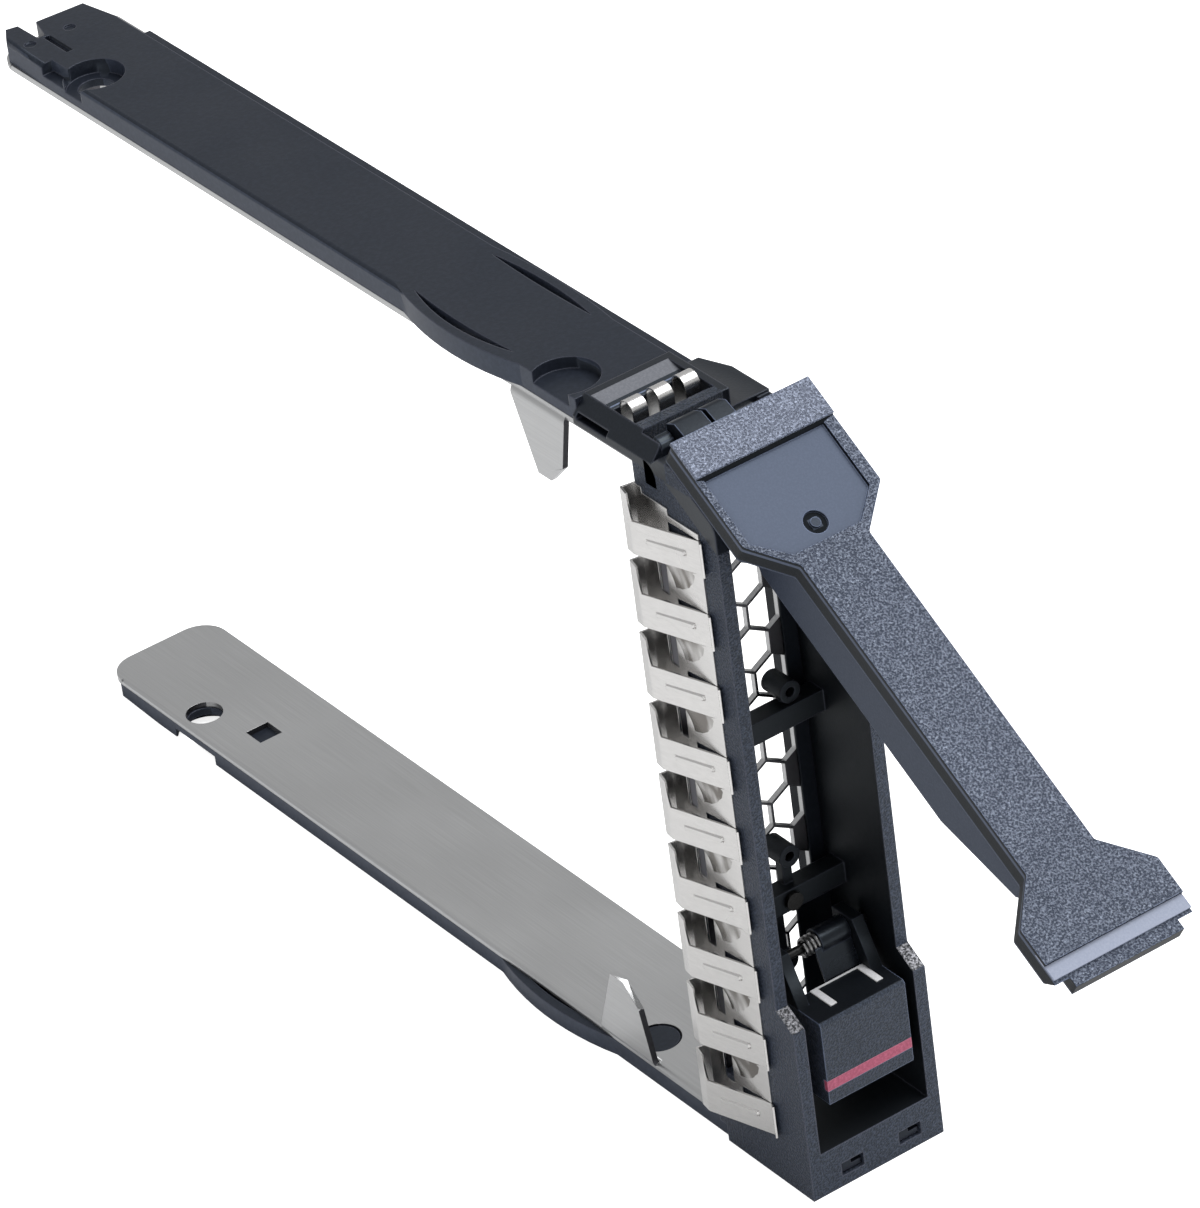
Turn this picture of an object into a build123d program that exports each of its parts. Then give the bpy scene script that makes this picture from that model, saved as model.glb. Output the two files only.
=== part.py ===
from build123d import *
import os
from math import cos, radians, sin, sqrt, tan

os.makedirs("parts", exist_ok=True)

# Hot swap caddy for a 2.5 inch drive that is 15 mm thick. Millimetres, +Z up, -Y is the front.
# The origin is on the axis of the lower rear drive screw, at the top face of the lower sheet.

# Drive interface
hole_spacing = 76.6        # rear to front side screws of a 2.5 inch drive
drive_gap = 70.15          # between the steel faces that hold the drive
rear_hole_r = 1.9          # hole in the sheet for the rear screw
front_hole_r = 2.2         # hole in the sheet round the plastic dome
square_hole = 2.6          # side of the square hole in the lower plate
square_hole_gap = 7.3      # square hole centre, ahead of the rear hole
square_hole_x = 2.3

# Steel sheet
sheet = 0.6                # sheet thickness
sheet_near_x = -2.64       # edge on the side of the contact fingers
sheet_width = 12.56
bend_r = 0.5               # inside radius of the bends
edge_roll = 0.45           # rolled near edge of the lower plate
sheet_rear = 14.2          # plate end behind the rear hole
plate_corner_r = 3.0
wall_plane = 15.0          # honeycomb wall, ahead of the front hole
hex_pitch = 4.09           # honeycomb cell to cell
hex_web = 0.4              # web between hexagons
comb_rim = 1.0             # plain rim round the honeycomb
tab_rear = 5.0             # bent tabs, behind and ahead of the front hole
tab_front = 3.1
tab_height = 7.7
tab_tip_rear = 2.2
tab_tip_front = 0.2
tab_knee_height = 5.6      # where the tab's front edge turns
tab_knee_front = 1.9

# Rails
upper_height = 2.3         # upper rail over the steel
lower_height = 1.8         # lower rail under the steel
rail_near_x = -2.6
rail_body_width = 10.3
flange_height = 0.6        # thin flange on the far side of each rail
flange_rear = 5.9
rail_rear = 13.9
rail_edge_r = 0.5          # rounded near edge of the upper rail
prong_width = 2.7          # near prong of the forked end
notch_width = 1.6
notch_depth = 3.8
counterbore_r = 2.95
counterbore_floor = 0.8    # plastic left under the screw head
screw_clear_r = 1.75
arm_rear = 20.9            # flex arm, from this far behind the front hole
arm_front = 5.4
arm_bulge = 1.2
slit_width = 0.8
arm_width = 0.9
recess_r = 3.2             # round recess over the front hole
recess_depth = 1.2
recess_shift = (-0.9, -1.2)
pocket_rear = 5.4          # small pocket in the near edge behind the counterbore
pocket_front = 1.7
pocket_width = 1.3
pit_r = 0.6
pit_depth = 0.2
pit_y = 9.6
pit_xs = (-1.1, 3.4)
groove_x = 0.85
groove_width = 0.7
groove_rear = 9.8
groove_front = 5.6
dome_clearance = 0.2       # round the dome in the sheet's front hole

# Bezel frame
bezel_near_x = -3.07
bezel_width = 14.87
bezel_face = 27.5          # front face, ahead of the front hole
bezel_bottom = -2.4
wall = 1.3                 # side walls
wall_setback = 2.3         # upper walls' front edges, behind the face
wall_rear = 13.6           # walls' rear edges, ahead of the front hole
foot_top = 2.2
shoulder_low = 16.2        # sloping shoulders, from the face to the upper walls
shoulder_high = 17.8
roof_height = 2.55         # roof over the steel
roof_rear = 5.0            # roof's rear edge, ahead of the front hole
flange_front = 8.4
flange_corner = 1.2        # sloping rear corner of the far flange
arm_top_front = 15.9       # where the walls' tops step up to the arms
near_arm_front = 16.6      # rounded end of the near arm
near_arm_r = 0.9
arm_slope_front = 17.6
arm_slope_rear = 4.4       # behind the hinge
near_slope_width = 1.5     # slope along the near edge of the roof
near_slope_drop = 1.7
side_pocket_rear = 5.4
side_pocket_front = 10.0
side_pocket_depth = 0.6
slot_near_x = -1.5         # slot for the curled fingers
slot_far_x = 6.9
slot_rear = 8.3
slot_front = 11.8
ramp_rear = 5.9
ramp_drop = 0.7
bridge_front = 13.8        # textured bridge ahead of the slot
bridge_step = 0.8
bridge_drop = 0.5
bar_face = 18.5            # cross bars' front plane, ahead of the front hole
bar_depth = 2.0
bar_tops = (42.5, 23.8)
bar_height = 2.2
post_r = 1.1
post_bore_r = 0.5
post_spots = ((7.2, 43.7), (5.0, 27.0), (3.5, 16.2))
stem = 1.0                 # stem that carries a post
screw_x = 4.5              # small screw in the lower bar
screw_r = 0.9
screw_rise = 0.5
side_window = (14.4, 17.4) # window in the near wall, ahead of the front hole
side_window_low = 6.0
side_window_high = 64.0
snap_width = 2.5
snap_height = 1.4
snap_xs = (1.55, 8.1)
snap_z = -0.6
snap_clearance = 0.2       # round a catch in its window
catch_thickness = 0.5
hook_length = 0.9
hook_rise = 0.45

# Lever, given in its own axes: along it from the hinge, and out from the hinge to its face
open_angle = 57.1          # swing from closed to open
hinge_depth = 3.6          # hinge axis behind the lever's face
hinge_z = 68.1
pin_r = 0.75
lever_plate = 2.2
lever_corner_r = 0.5       # rounded corners of its outline
cap_top = 7.1              # above the hinge
cap_length = 4.0
cap_rise = 0.4
head_length = 11.3         # full-width head, from the cap's top
neck_start = 15.1
lever_length = 59.1
lever_lip = 1.3            # lip at the lever's end
lip_step = 0.35            # lip below the groove
groove_width_out = 1.4     # groove before the lip
flare_pad = 3.7            # full-width end before the groove
flare = 4.0                # widening from the neck to the end
neck_near_x = 0.5
neck_width = 7.35
web_depth = 7.2            # channel walls, from the face
web_taper = 9.9            # taper of the channel walls before the flare
web_tip_depth = 4.4
web = 1.2
web_inset = 0.35
rib = 0.8                  # cross ribs in the channel
rib_places = (22, 30, 38)  # along the lever from the cap's top
rib_depth = 5.2
skirt_depth = 3.4          # skirt under the flare
hub_r = 2.2
cam_reach = 10.5
cam_near_x = 0.0
cam_width = 5.6
cam_split_x = 3.0          # groove that splits the cam block
cam_split = 0.4
field_depth = 0.4
field_near_rim = 0.7       # textured rims beside the sunk field
field_far_rim = 1.2
field_gap = 0.3            # field's start after the cap
field_end = 13.9
dimple_place = 12.0        # along the lever from the cap's top
dimple_r = 1.15
dimple_depth = 0.25
dimple_core_r = 0.5

# Release button
button_near_x = -0.1
button_width = 9.55
button_bottom = 6.95
button_top = 15.8
button_back = 22.8         # rear of its top face, ahead of the front hole
button_shell = 1.2
button_edge_r = 0.4
stripe_low = 8.4
stripe_height = 1.1
stripe_depth = 0.5
button_pin_y = 20.5        # ahead of the front hole
button_pin_z = 18.8
button_pin_r = 0.45
ear = 1.2
ear_r = 1.5
ear_root = 3.0             # ears' root on the button, below its top
latch_near_x = 2.3         # pale bars on the button's top
latch_far_x = 7.5
latch_width = 0.75
latch_front = 25.9
latch_rise = 0.1
latch_bridge = 0.2

# Contact strips
strip = 0.2                # spring steel thickness
finger_pitch = 7.54
finger_count = 9
finger_height = 3.5
finger_top = 66.65
finger_front = 23.4        # bands' front lips, ahead of the front hole
finger_rear = 14.9         # where the bands fold back
finger_lean = 1.55         # outward slope of a band
finger_drop = 0.7          # how much lower a band is at its rear
lip_length = 0.6
lip_flare = 0.25
fold_depth = 1.5           # rear fold, behind the bend
wing_rise = 2.6            # rear fold above the band
scoop_rear = 18.4          # concave sheet between the bands
scoop_sag = 0.35
strip_window = (15.9, 17.2)
ridge_length = 4.6
ridge_width = 0.55
ridge_rise = 0.12
curl_r = 1.35
curl_width = 2.2
curl_pitch = 2.95
curl_count = 3
curl_near_x = -1.35
curl_leg = 0.5

# Springs
wire_r = 0.2
wire_sides = 5
coil_pitch = 1.1
button_coil_x = 2.4
button_coil_length = 2.4
leg_length = 3.0           # straight leg of the button's spring
leg_angle = 50
run_gap = 0.05             # running clearance at pins
coil_gap = 0.1             # between a pin and its spring
pin_recess = 0.1           # pins' ends inside their bores
pin_skin = 0.4             # wall left over the pins' near ends
gap = 0.3                  # clearance between parts that move apart

# Places worked out from the sizes above
front_y = -hole_spacing
face_y = front_y - bezel_face
wall_front_y = face_y + wall_setback
wall_rear_y = front_y - wall_rear
comb_y = front_y - wall_plane
sheet_far_x = sheet_near_x + sheet_width
rail_far_x = rail_near_x + rail_body_width
bezel_far_x = bezel_near_x + bezel_width
inner_near_x = bezel_near_x + wall
inner_far_x = bezel_far_x - wall
upper_steel = drive_gap + sheet
rail_top = upper_steel + upper_height
roof_top = upper_steel + roof_height
hinge_y = face_y + hinge_depth
swing = radians(open_angle)
lever_up = (0, sin(swing), cos(swing))
lever_out = (0, -cos(swing), sin(swing))
hinge_point = (0, hinge_y, hinge_z)
lip_start = lever_length - lever_lip
groove_start = lip_start - groove_width_out
flare_end = groove_start - flare_pad
neck_end = flare_end - flare
arm_mid = front_y + (arm_rear + arm_front) / 2


def slab(x0, x1, y0, y1, z0, z1, mode=Mode.ADD):
    """A block between two corners."""
    with BuildSketch(Plane.XY.offset(z0)) as face:
        with Locations(((x0 + x1) / 2, (y0 + y1) / 2)):
            Rectangle(x1 - x0, y1 - y0)
    extrude(face.sketch, amount=z1 - z0, mode=mode)


def side_profile(points, x0, x1, mode=Mode.ADD):
    """An outline in Y and Z, run from x0 to x1."""
    with BuildSketch(Plane.YZ.offset(x0)) as face:
        with BuildLine():
            Polyline(*points, close=True)
        make_face()
    extrude(face.sketch, amount=x1 - x0, mode=mode)


def lever_side(points, x0, x1, mode=Mode.ADD):
    """An outline along and out of the lever, run from x0 to x1."""
    side = Plane(origin=(x0, hinge_y, hinge_z), x_dir=lever_up, z_dir=(1, 0, 0))
    with BuildSketch(side) as face:
        with BuildLine():
            Polyline(*points, close=True)
        make_face()
    extrude(face.sketch, amount=x1 - x0, mode=mode)


def lever_level(out):
    """Plane across and along the lever, at one depth."""
    return Plane(origin=hinge_point, x_dir=(1, 0, 0), z_dir=lever_out).offset(out)


def lever_slab(points, out0, out1, mode=Mode.ADD, corner_r=0):
    """An outline across and along the lever, run from one depth to another."""
    with BuildSketch(lever_level(out0)) as face:
        with BuildLine():
            Polyline(*points, close=True)
        make_face()
        if corner_r:
            fillet(face.vertices(), radius=corner_r)
    extrude(face.sketch, amount=out1 - out0, mode=mode)


def lever_round(x, along, out0, out1, r, mode=Mode.ADD):
    """A round boss or recess in the lever's face."""
    with BuildSketch(lever_level(out0)) as face:
        with Locations((x, along)):
            Circle(r)
    extrude(face.sketch, amount=out1 - out0, mode=mode)


def cross_pin(y, z, x0, x1, r, mode=Mode.ADD):
    """A round bar or bore along X."""
    with BuildSketch(Plane.YZ.offset(x0)) as face:
        with Locations((y, z)):
            Circle(r)
    extrude(face.sketch, amount=x1 - x0, mode=mode)


def lengthwise(x, z, y0, y1, r, mode=Mode.ADD):
    """A round bar or bore along Y."""
    with BuildSketch(Plane.XZ.offset(-y1)) as face:
        with Locations((x, z)):
            Circle(r)
    extrude(face.sketch, amount=y1 - y0, mode=mode)


def upright(x, y, z0, z1, r, mode=Mode.ADD):
    """A round bar or bore along Z."""
    with BuildSketch(Plane.XY.offset(z0)) as face:
        with Locations((x, y)):
            Circle(r)
    extrude(face.sketch, amount=z1 - z0, mode=mode)


def rail_plan(level):
    """Plan of a rail's body, with the bulges of its flex arms and its forked rear end."""
    near_bulge = rail_near_x - arm_bulge
    notch_near_x = rail_near_x + prong_width
    notch_far_x = notch_near_x + notch_width
    with BuildSketch(level) as plan:
        with BuildLine():
            Polyline(
                (rail_near_x, front_y + arm_rear + 1),
                (rail_near_x, rail_rear - 8.9),
                (rail_near_x + 0.2, rail_rear - 2),
                (rail_near_x + 1.4, rail_rear),
                (notch_near_x - 0.1, rail_rear - 0.3),
                (notch_near_x, rail_rear - notch_depth),
                (notch_far_x - 0.8, rail_rear - notch_depth),
                (notch_far_x, rail_rear - 0.9),
                (rail_far_x - 0.8, rail_rear - 1.2),
                (rail_far_x, rail_rear - 5.6),
                (rail_far_x, front_y + arm_rear + 1),
            )
            ThreePointArc(
                (rail_far_x, front_y + arm_rear + 1),
                (rail_far_x + arm_bulge / 2, arm_mid),
                (rail_far_x, front_y + arm_front - 2),
            )
            Polyline(
                (rail_far_x, front_y + arm_front - 2),
                (rail_far_x, front_y - roof_rear),
                (rail_near_x, front_y - roof_rear),
                (rail_near_x, front_y + arm_front - 2),
            )
            ThreePointArc(
                (rail_near_x, front_y + arm_front - 2),
                (near_bulge, arm_mid),
                (rail_near_x, front_y + arm_rear + 1),
            )
        make_face()
    return plan.sketch


def arm_slit(level, edge_x, bulge, side):
    """Curved slit that frees a flex arm; side is 1 where the rail lies towards +X of the arm."""
    outer = edge_x + side * arm_width
    with BuildSketch(level) as slit:
        with BuildLine():
            ThreePointArc(
                (outer, front_y + arm_rear),
                (outer - side * bulge, arm_mid),
                (outer, front_y + arm_front),
            )
            ThreePointArc(
                (outer, front_y + arm_front),
                (outer - side * (bulge - slit_width), arm_mid),
                (outer, front_y + arm_rear),
            )
        make_face()
    return slit.sketch


# Tab bent out of the near edge of the lower plate
tab_x = sheet_near_x - sheet / 2
tab_root_x = sheet_near_x + 2 * bend_r
with BuildPart() as near_tab:
    with BuildSketch(Plane.XZ.offset(-front_y - tab_rear)):
        with BuildLine():
            FilletPolyline(
                (tab_root_x, 0), (tab_x + sheet, 0), (tab_x + sheet, tab_height), radius=bend_r
            )
            Line((tab_x + sheet, tab_height), (tab_x, tab_height))
            FilletPolyline(
                (tab_x, tab_height), (tab_x, -sheet), (tab_root_x, -sheet), radius=bend_r + sheet
            )
            Line((tab_root_x, -sheet), (tab_root_x, 0))
        make_face()
    extrude(amount=tab_rear + tab_front)
    with BuildSketch(Plane.YZ.offset(tab_x)) as tab_outline:
        with BuildLine():
            Polyline(
                (front_y + tab_rear, -sheet),
                (front_y + tab_rear, bend_r),
                (front_y + tab_tip_rear, tab_height),
                (front_y + tab_tip_front, tab_height),
                (front_y - tab_knee_front, tab_knee_height),
                (front_y - tab_front, bend_r),
                (front_y - tab_front, -sheet),
                close=True,
            )
        make_face()
        fillet(tab_outline.vertices().group_by(Axis.Y)[2], radius=sheet / 2)
    extrude(tab_outline.sketch, amount=tab_root_x - tab_x, mode=Mode.INTERSECT)

# Steel carrier: lower plate, honeycomb wall and upper plate, folded from one sheet
comb_front = comb_y - sheet / 2
comb_back = comb_y + sheet / 2
with BuildPart() as steel_carrier:
    with BuildSketch(Plane.YZ.offset(sheet_near_x)):
        with BuildLine():
            outer_low = (comb_front, -sheet)
            outer_high = (comb_front, upper_steel)
            FilletPolyline(
                (sheet_rear, -sheet), outer_low, outer_high, (sheet_rear, upper_steel),
                radius=bend_r + sheet,
            )
            Line((sheet_rear, upper_steel), (sheet_rear, drive_gap))
            FilletPolyline(
                (sheet_rear, drive_gap), (comb_back, drive_gap), (comb_back, 0), (sheet_rear, 0),
                radius=bend_r,
            )
            Line((sheet_rear, 0), (sheet_rear, -sheet))
        make_face()
    extrude(amount=sheet_width)
    rear_corners = steel_carrier.edges().filter_by(Axis.Z).group_by(Axis.Y)[-1]
    fillet(rear_corners, radius=plate_corner_r)
    # Rolled near edge of the lower plate
    with BuildSketch(Plane.XZ.offset(plate_corner_r - sheet_rear)) as roll:
        with BuildLine():
            Polyline((sheet_near_x, -edge_roll), (sheet_near_x, 0), (sheet_near_x + edge_roll, 0))
            RadiusArc((sheet_near_x + edge_roll, 0), (sheet_near_x, -edge_roll), -edge_roll)
        make_face()
    extrude(roll.sketch, amount=sheet_rear - plate_corner_r - comb_back, mode=Mode.SUBTRACT)
    # Bent tabs on the near edge, one up from the lower plate and one down from the upper
    add(near_tab.part)
    mirror(near_tab.part, about=Plane.XY.offset(drive_gap / 2))
    # Screw holes, in both plates
    for hole_y, hole_r in ((0, rear_hole_r), (front_y, front_hole_r)):
        upright(0, hole_y, -sheet, bend_r, hole_r, Mode.SUBTRACT)
    upright(0, 0, drive_gap, upper_steel, rear_hole_r, Mode.SUBTRACT)
    half = square_hole / 2
    slab(square_hole_x - half, square_hole_x + half, -square_hole_gap - half,
         -square_hole_gap + half, -sheet, 0, Mode.SUBTRACT)
    # Honeycomb, between a plain rim at the edges and the folds
    row_pitch = hex_pitch * sqrt(3) / 2
    hex_r = (hex_pitch - hex_web) / sqrt(3)
    comb_mid_x = sheet_near_x + sheet_width / 2
    comb_low = bend_r + comb_rim
    comb_high = drive_gap - comb_low
    rows = int((comb_high - comb_low) / row_pitch)
    first_row = (drive_gap - (rows - 1) * row_pitch) / 2
    with BuildSketch(Plane.XZ.offset(-comb_back)) as comb:
        for row in range(rows):
            columns = 2 + row % 2
            with Locations((comb_mid_x, first_row + row * row_pitch)):
                with GridLocations(hex_pitch, 1, columns, 1):
                    RegularPolygon(hex_r, 6, rotation=30)
        with Locations((comb_mid_x, drive_gap / 2)):
            Rectangle(sheet_width - 2 * comb_rim, comb_high - comb_low, mode=Mode.INTERSECT)
    extrude(comb.sketch, amount=sheet, mode=Mode.SUBTRACT)
steel_carrier.part.label = "steel_carrier"

# Upper rail
upper_level = Plane.XY.offset(upper_steel)
with BuildPart() as upper_rail:
    extrude(rail_plan(upper_level), amount=upper_height)
    top_edges = upper_rail.edges().group_by(Axis.Z)[-1]
    long_near_edge = top_edges.filter_by(Axis.Y).sort_by(SortBy.LENGTH)[-2:].sort_by(Axis.X)[0]
    fillet(long_near_edge, radius=rail_edge_r)
    slab(rail_far_x, sheet_far_x, front_y - roof_rear, flange_rear, upper_steel,
         upper_steel + flange_height)
    extrude(arm_slit(upper_level, rail_near_x, arm_bulge, 1), amount=upper_height, mode=Mode.SUBTRACT)
    extrude(arm_slit(upper_level, rail_far_x, arm_bulge / 2, -1), amount=upper_height,
            mode=Mode.SUBTRACT)
    upright(0, 0, upper_steel, rail_top, screw_clear_r, Mode.SUBTRACT)
    upright(0, 0, upper_steel + counterbore_floor, rail_top, counterbore_r, Mode.SUBTRACT)
    # Shallow round recess over the front hole, open to the near edge
    upright(recess_shift[0], front_y + recess_shift[1], rail_top - recess_depth, rail_top, recess_r,
            Mode.SUBTRACT)
    # Moulding details behind the counterbore
    slab(rail_near_x, rail_near_x + pocket_width, pocket_front, pocket_rear,
         rail_top - recess_depth, rail_top, Mode.SUBTRACT)
    slab(groove_x - groove_width / 2, groove_x + groove_width / 2, groove_front, groove_rear,
         rail_top - recess_depth / 2, rail_top, Mode.SUBTRACT)
    for pit_x in pit_xs:
        upright(pit_x, pit_y, rail_top - pit_depth, rail_top, pit_r, Mode.SUBTRACT)
upper_rail.part.label = "upper_rail"

# Lower rail, with the dome that fills the front hole and two catches through the foot
lower_level = Plane.XY.offset(-sheet - lower_height)
foot_rear = front_y - wall_rear - 1
catch_width = snap_width - 2 * snap_clearance
catch_low = snap_z - snap_height / 2 + snap_clearance
with BuildPart() as lower_rail:
    extrude(rail_plan(lower_level), amount=lower_height)
    slab(rail_far_x, sheet_far_x, front_y - roof_rear, flange_rear, -sheet - flange_height, -sheet)
    slab(rail_near_x, rail_far_x, front_y - wall_rear - 1, front_y - roof_rear,
         -sheet - lower_height, -sheet)
    extrude(arm_slit(lower_level, rail_near_x, arm_bulge, 1), amount=lower_height, mode=Mode.SUBTRACT)
    extrude(arm_slit(lower_level, rail_far_x, arm_bulge / 2, -1), amount=lower_height,
            mode=Mode.SUBTRACT)
    upright(0, 0, -sheet - lower_height, -sheet, screw_clear_r, Mode.SUBTRACT)
    upright(0, 0, -sheet - lower_height, -sheet - counterbore_floor, counterbore_r, Mode.SUBTRACT)
    slab(rail_near_x, rail_near_x + pocket_width, -pocket_rear, pocket_front,
         -sheet - lower_height, -sheet - counterbore_floor, Mode.SUBTRACT)
    upright(0, front_y, -sheet, -dome_clearance / 2, front_hole_r - dome_clearance)
    for snap_x in snap_xs:
        near_x = snap_x - catch_width / 2
        slab(near_x, near_x + catch_width, face_y + gap, foot_rear, catch_low,
             catch_low + catch_thickness)
        slab(near_x, near_x + catch_width / 2, face_y + gap, face_y + gap + hook_length, catch_low,
             catch_low + catch_thickness + hook_rise)
lower_rail.part.label = "lower_rail"

# Bezel frame
cut_out = hinge_depth - lever_plate - 0.1
slant = tan(radians(90) - swing)


def slant_z(y):
    """Height of the walls' slanted edge, which the open lever lies along."""
    return hinge_z + cut_out / sin(swing) + (y - hinge_y) * slant


def wall_nose(turn):
    """Point on the rounded nose of a wall, round the hinge axis."""
    return (hinge_y - cut_out * cos(turn), hinge_z + cut_out * sin(turn))


with BuildPart() as bezel_frame:
    slope_y = hinge_y + arm_slope_rear
    wall_outline = [
        (face_y, bezel_bottom),
        (face_y, shoulder_low),
        (wall_front_y, shoulder_high),
        wall_nose(0),
        wall_nose(swing / 3),
        wall_nose(swing * 2 / 3),
        wall_nose(swing),
        (slope_y, slant_z(slope_y)),
        (front_y - arm_slope_front, slant_z(slope_y)),
        (front_y - arm_top_front, upper_steel + gap),
        (wall_rear_y, upper_steel + gap),
        (wall_rear_y, bezel_bottom),
    ]
    side_profile(wall_outline, bezel_near_x, inner_near_x)
    side_profile(wall_outline, inner_far_x, bezel_far_x)
    # Foot between the walls, below the button
    slab(inner_near_x, inner_far_x, face_y, foot_rear, bezel_bottom, foot_top)
    # Cross bars
    bar_front_y = front_y - bar_face
    for bar_top in bar_tops:
        slab(inner_near_x, inner_far_x, bar_front_y, bar_front_y + bar_depth, bar_top - bar_height,
             bar_top)
    # Bored posts on stems: two stand on the bars and one hangs from the lower bar
    post_seats = (bar_tops[0], bar_tops[1], bar_tops[1] - bar_height)
    for (post_x, post_z), seat in zip(post_spots, post_seats):
        slab(post_x - stem / 2, post_x + stem / 2, bar_front_y + bar_depth - stem,
             bar_front_y + bar_depth, min(seat, post_z), max(seat, post_z))
        lengthwise(post_x, post_z, bar_front_y + gap, comb_front - run_gap, post_r)
        lengthwise(post_x, post_z, bar_front_y + gap, bar_front_y + bar_depth, post_bore_r,
                   Mode.SUBTRACT)
    # Roof: a thick part over the rail's body and a thin flange on the far side
    roof_front = front_y - bridge_front
    slab(bezel_near_x, rail_far_x, roof_front, front_y - roof_rear, upper_steel, roof_top)
    with BuildSketch(Plane.XY.offset(upper_steel)) as far_flange:
        with BuildLine():
            Polyline(
                (rail_far_x, roof_front),
                (bezel_far_x, roof_front),
                (bezel_far_x, front_y - flange_front),
                (bezel_far_x - flange_corner, front_y - roof_rear),
                (rail_far_x, front_y - roof_rear),
                close=True,
            )
        make_face()
    extrude(far_flange.sketch, amount=flange_height)
    # Near arm, which runs on from the roof to a rounded end
    with BuildSketch(Plane.YZ.offset(bezel_near_x)) as near_arm:
        with BuildLine():
            Polyline(
                (roof_front, upper_steel),
                (roof_front, roof_top),
                (front_y - near_arm_front, roof_top),
                (front_y - near_arm_front, upper_steel),
                close=True,
            )
        make_face()
        fillet(near_arm.vertices().group_by(Axis.Y)[-1].group_by(Axis.X)[0], radius=near_arm_r)
    extrude(near_arm.sketch, amount=wall)
    # Slope and pocket along the near edge
    with BuildSketch(Plane.XZ.offset(-front_y + roof_rear)) as near_slope:
        with BuildLine():
            Polyline(
                (bezel_near_x, roof_top - near_slope_drop),
                (bezel_near_x + near_slope_width, roof_top),
                (bezel_near_x, roof_top),
                close=True,
            )
        make_face()
    extrude(near_slope.sketch, amount=near_arm_front - roof_rear, mode=Mode.SUBTRACT)
    slab(bezel_near_x, bezel_near_x + near_slope_width, front_y - side_pocket_front,
         front_y - side_pocket_rear, upper_steel + flange_height,
         upper_steel + flange_height + side_pocket_depth, Mode.SUBTRACT)
    # Slot for the curled fingers, with a ramp behind it and a stepped bridge ahead of it
    slab(slot_near_x, slot_far_x, front_y - slot_front, front_y - slot_rear, upper_steel, roof_top,
         Mode.SUBTRACT)
    ramp_outline = [
        (front_y - ramp_rear, roof_top),
        (front_y - slot_rear, roof_top - ramp_drop),
        (front_y - slot_rear, roof_top),
    ]
    side_profile(ramp_outline, slot_near_x, slot_far_x, Mode.SUBTRACT)
    slab(slot_near_x, slot_far_x, front_y - slot_front - bridge_step, front_y - slot_front,
         roof_top - bridge_drop, roof_top, Mode.SUBTRACT)
    # Room for the sheet, which passes through the foot and under the roof, and for the rail's end
    slab(sheet_near_x - run_gap, sheet_far_x + run_gap, comb_front - run_gap, wall_rear_y,
         -sheet, upper_steel, Mode.SUBTRACT)
    slab(bezel_near_x, bezel_far_x, foot_rear, wall_rear_y, bezel_bottom, -sheet, Mode.SUBTRACT)
    # Snap windows through the foot
    for snap_x in snap_xs:
        slab(snap_x - snap_width / 2, snap_x + snap_width / 2, face_y, foot_rear,
             snap_z - snap_height / 2, snap_z + snap_height / 2, Mode.SUBTRACT)
    # Pin holes
    pin_near_x = bezel_near_x + pin_skin
    cross_pin(hinge_y, hinge_z, pin_near_x, bezel_far_x, pin_r + run_gap, Mode.SUBTRACT)
    cross_pin(front_y - button_pin_y, button_pin_z, pin_near_x, bezel_far_x,
              button_pin_r + run_gap, Mode.SUBTRACT)
    # Window in the near wall behind the contact fingers
    slab(bezel_near_x, inner_near_x, front_y - side_window[1], front_y - side_window[0],
         side_window_low, side_window_high, Mode.SUBTRACT)
bezel_frame.part.label = "bezel_frame"

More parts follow.
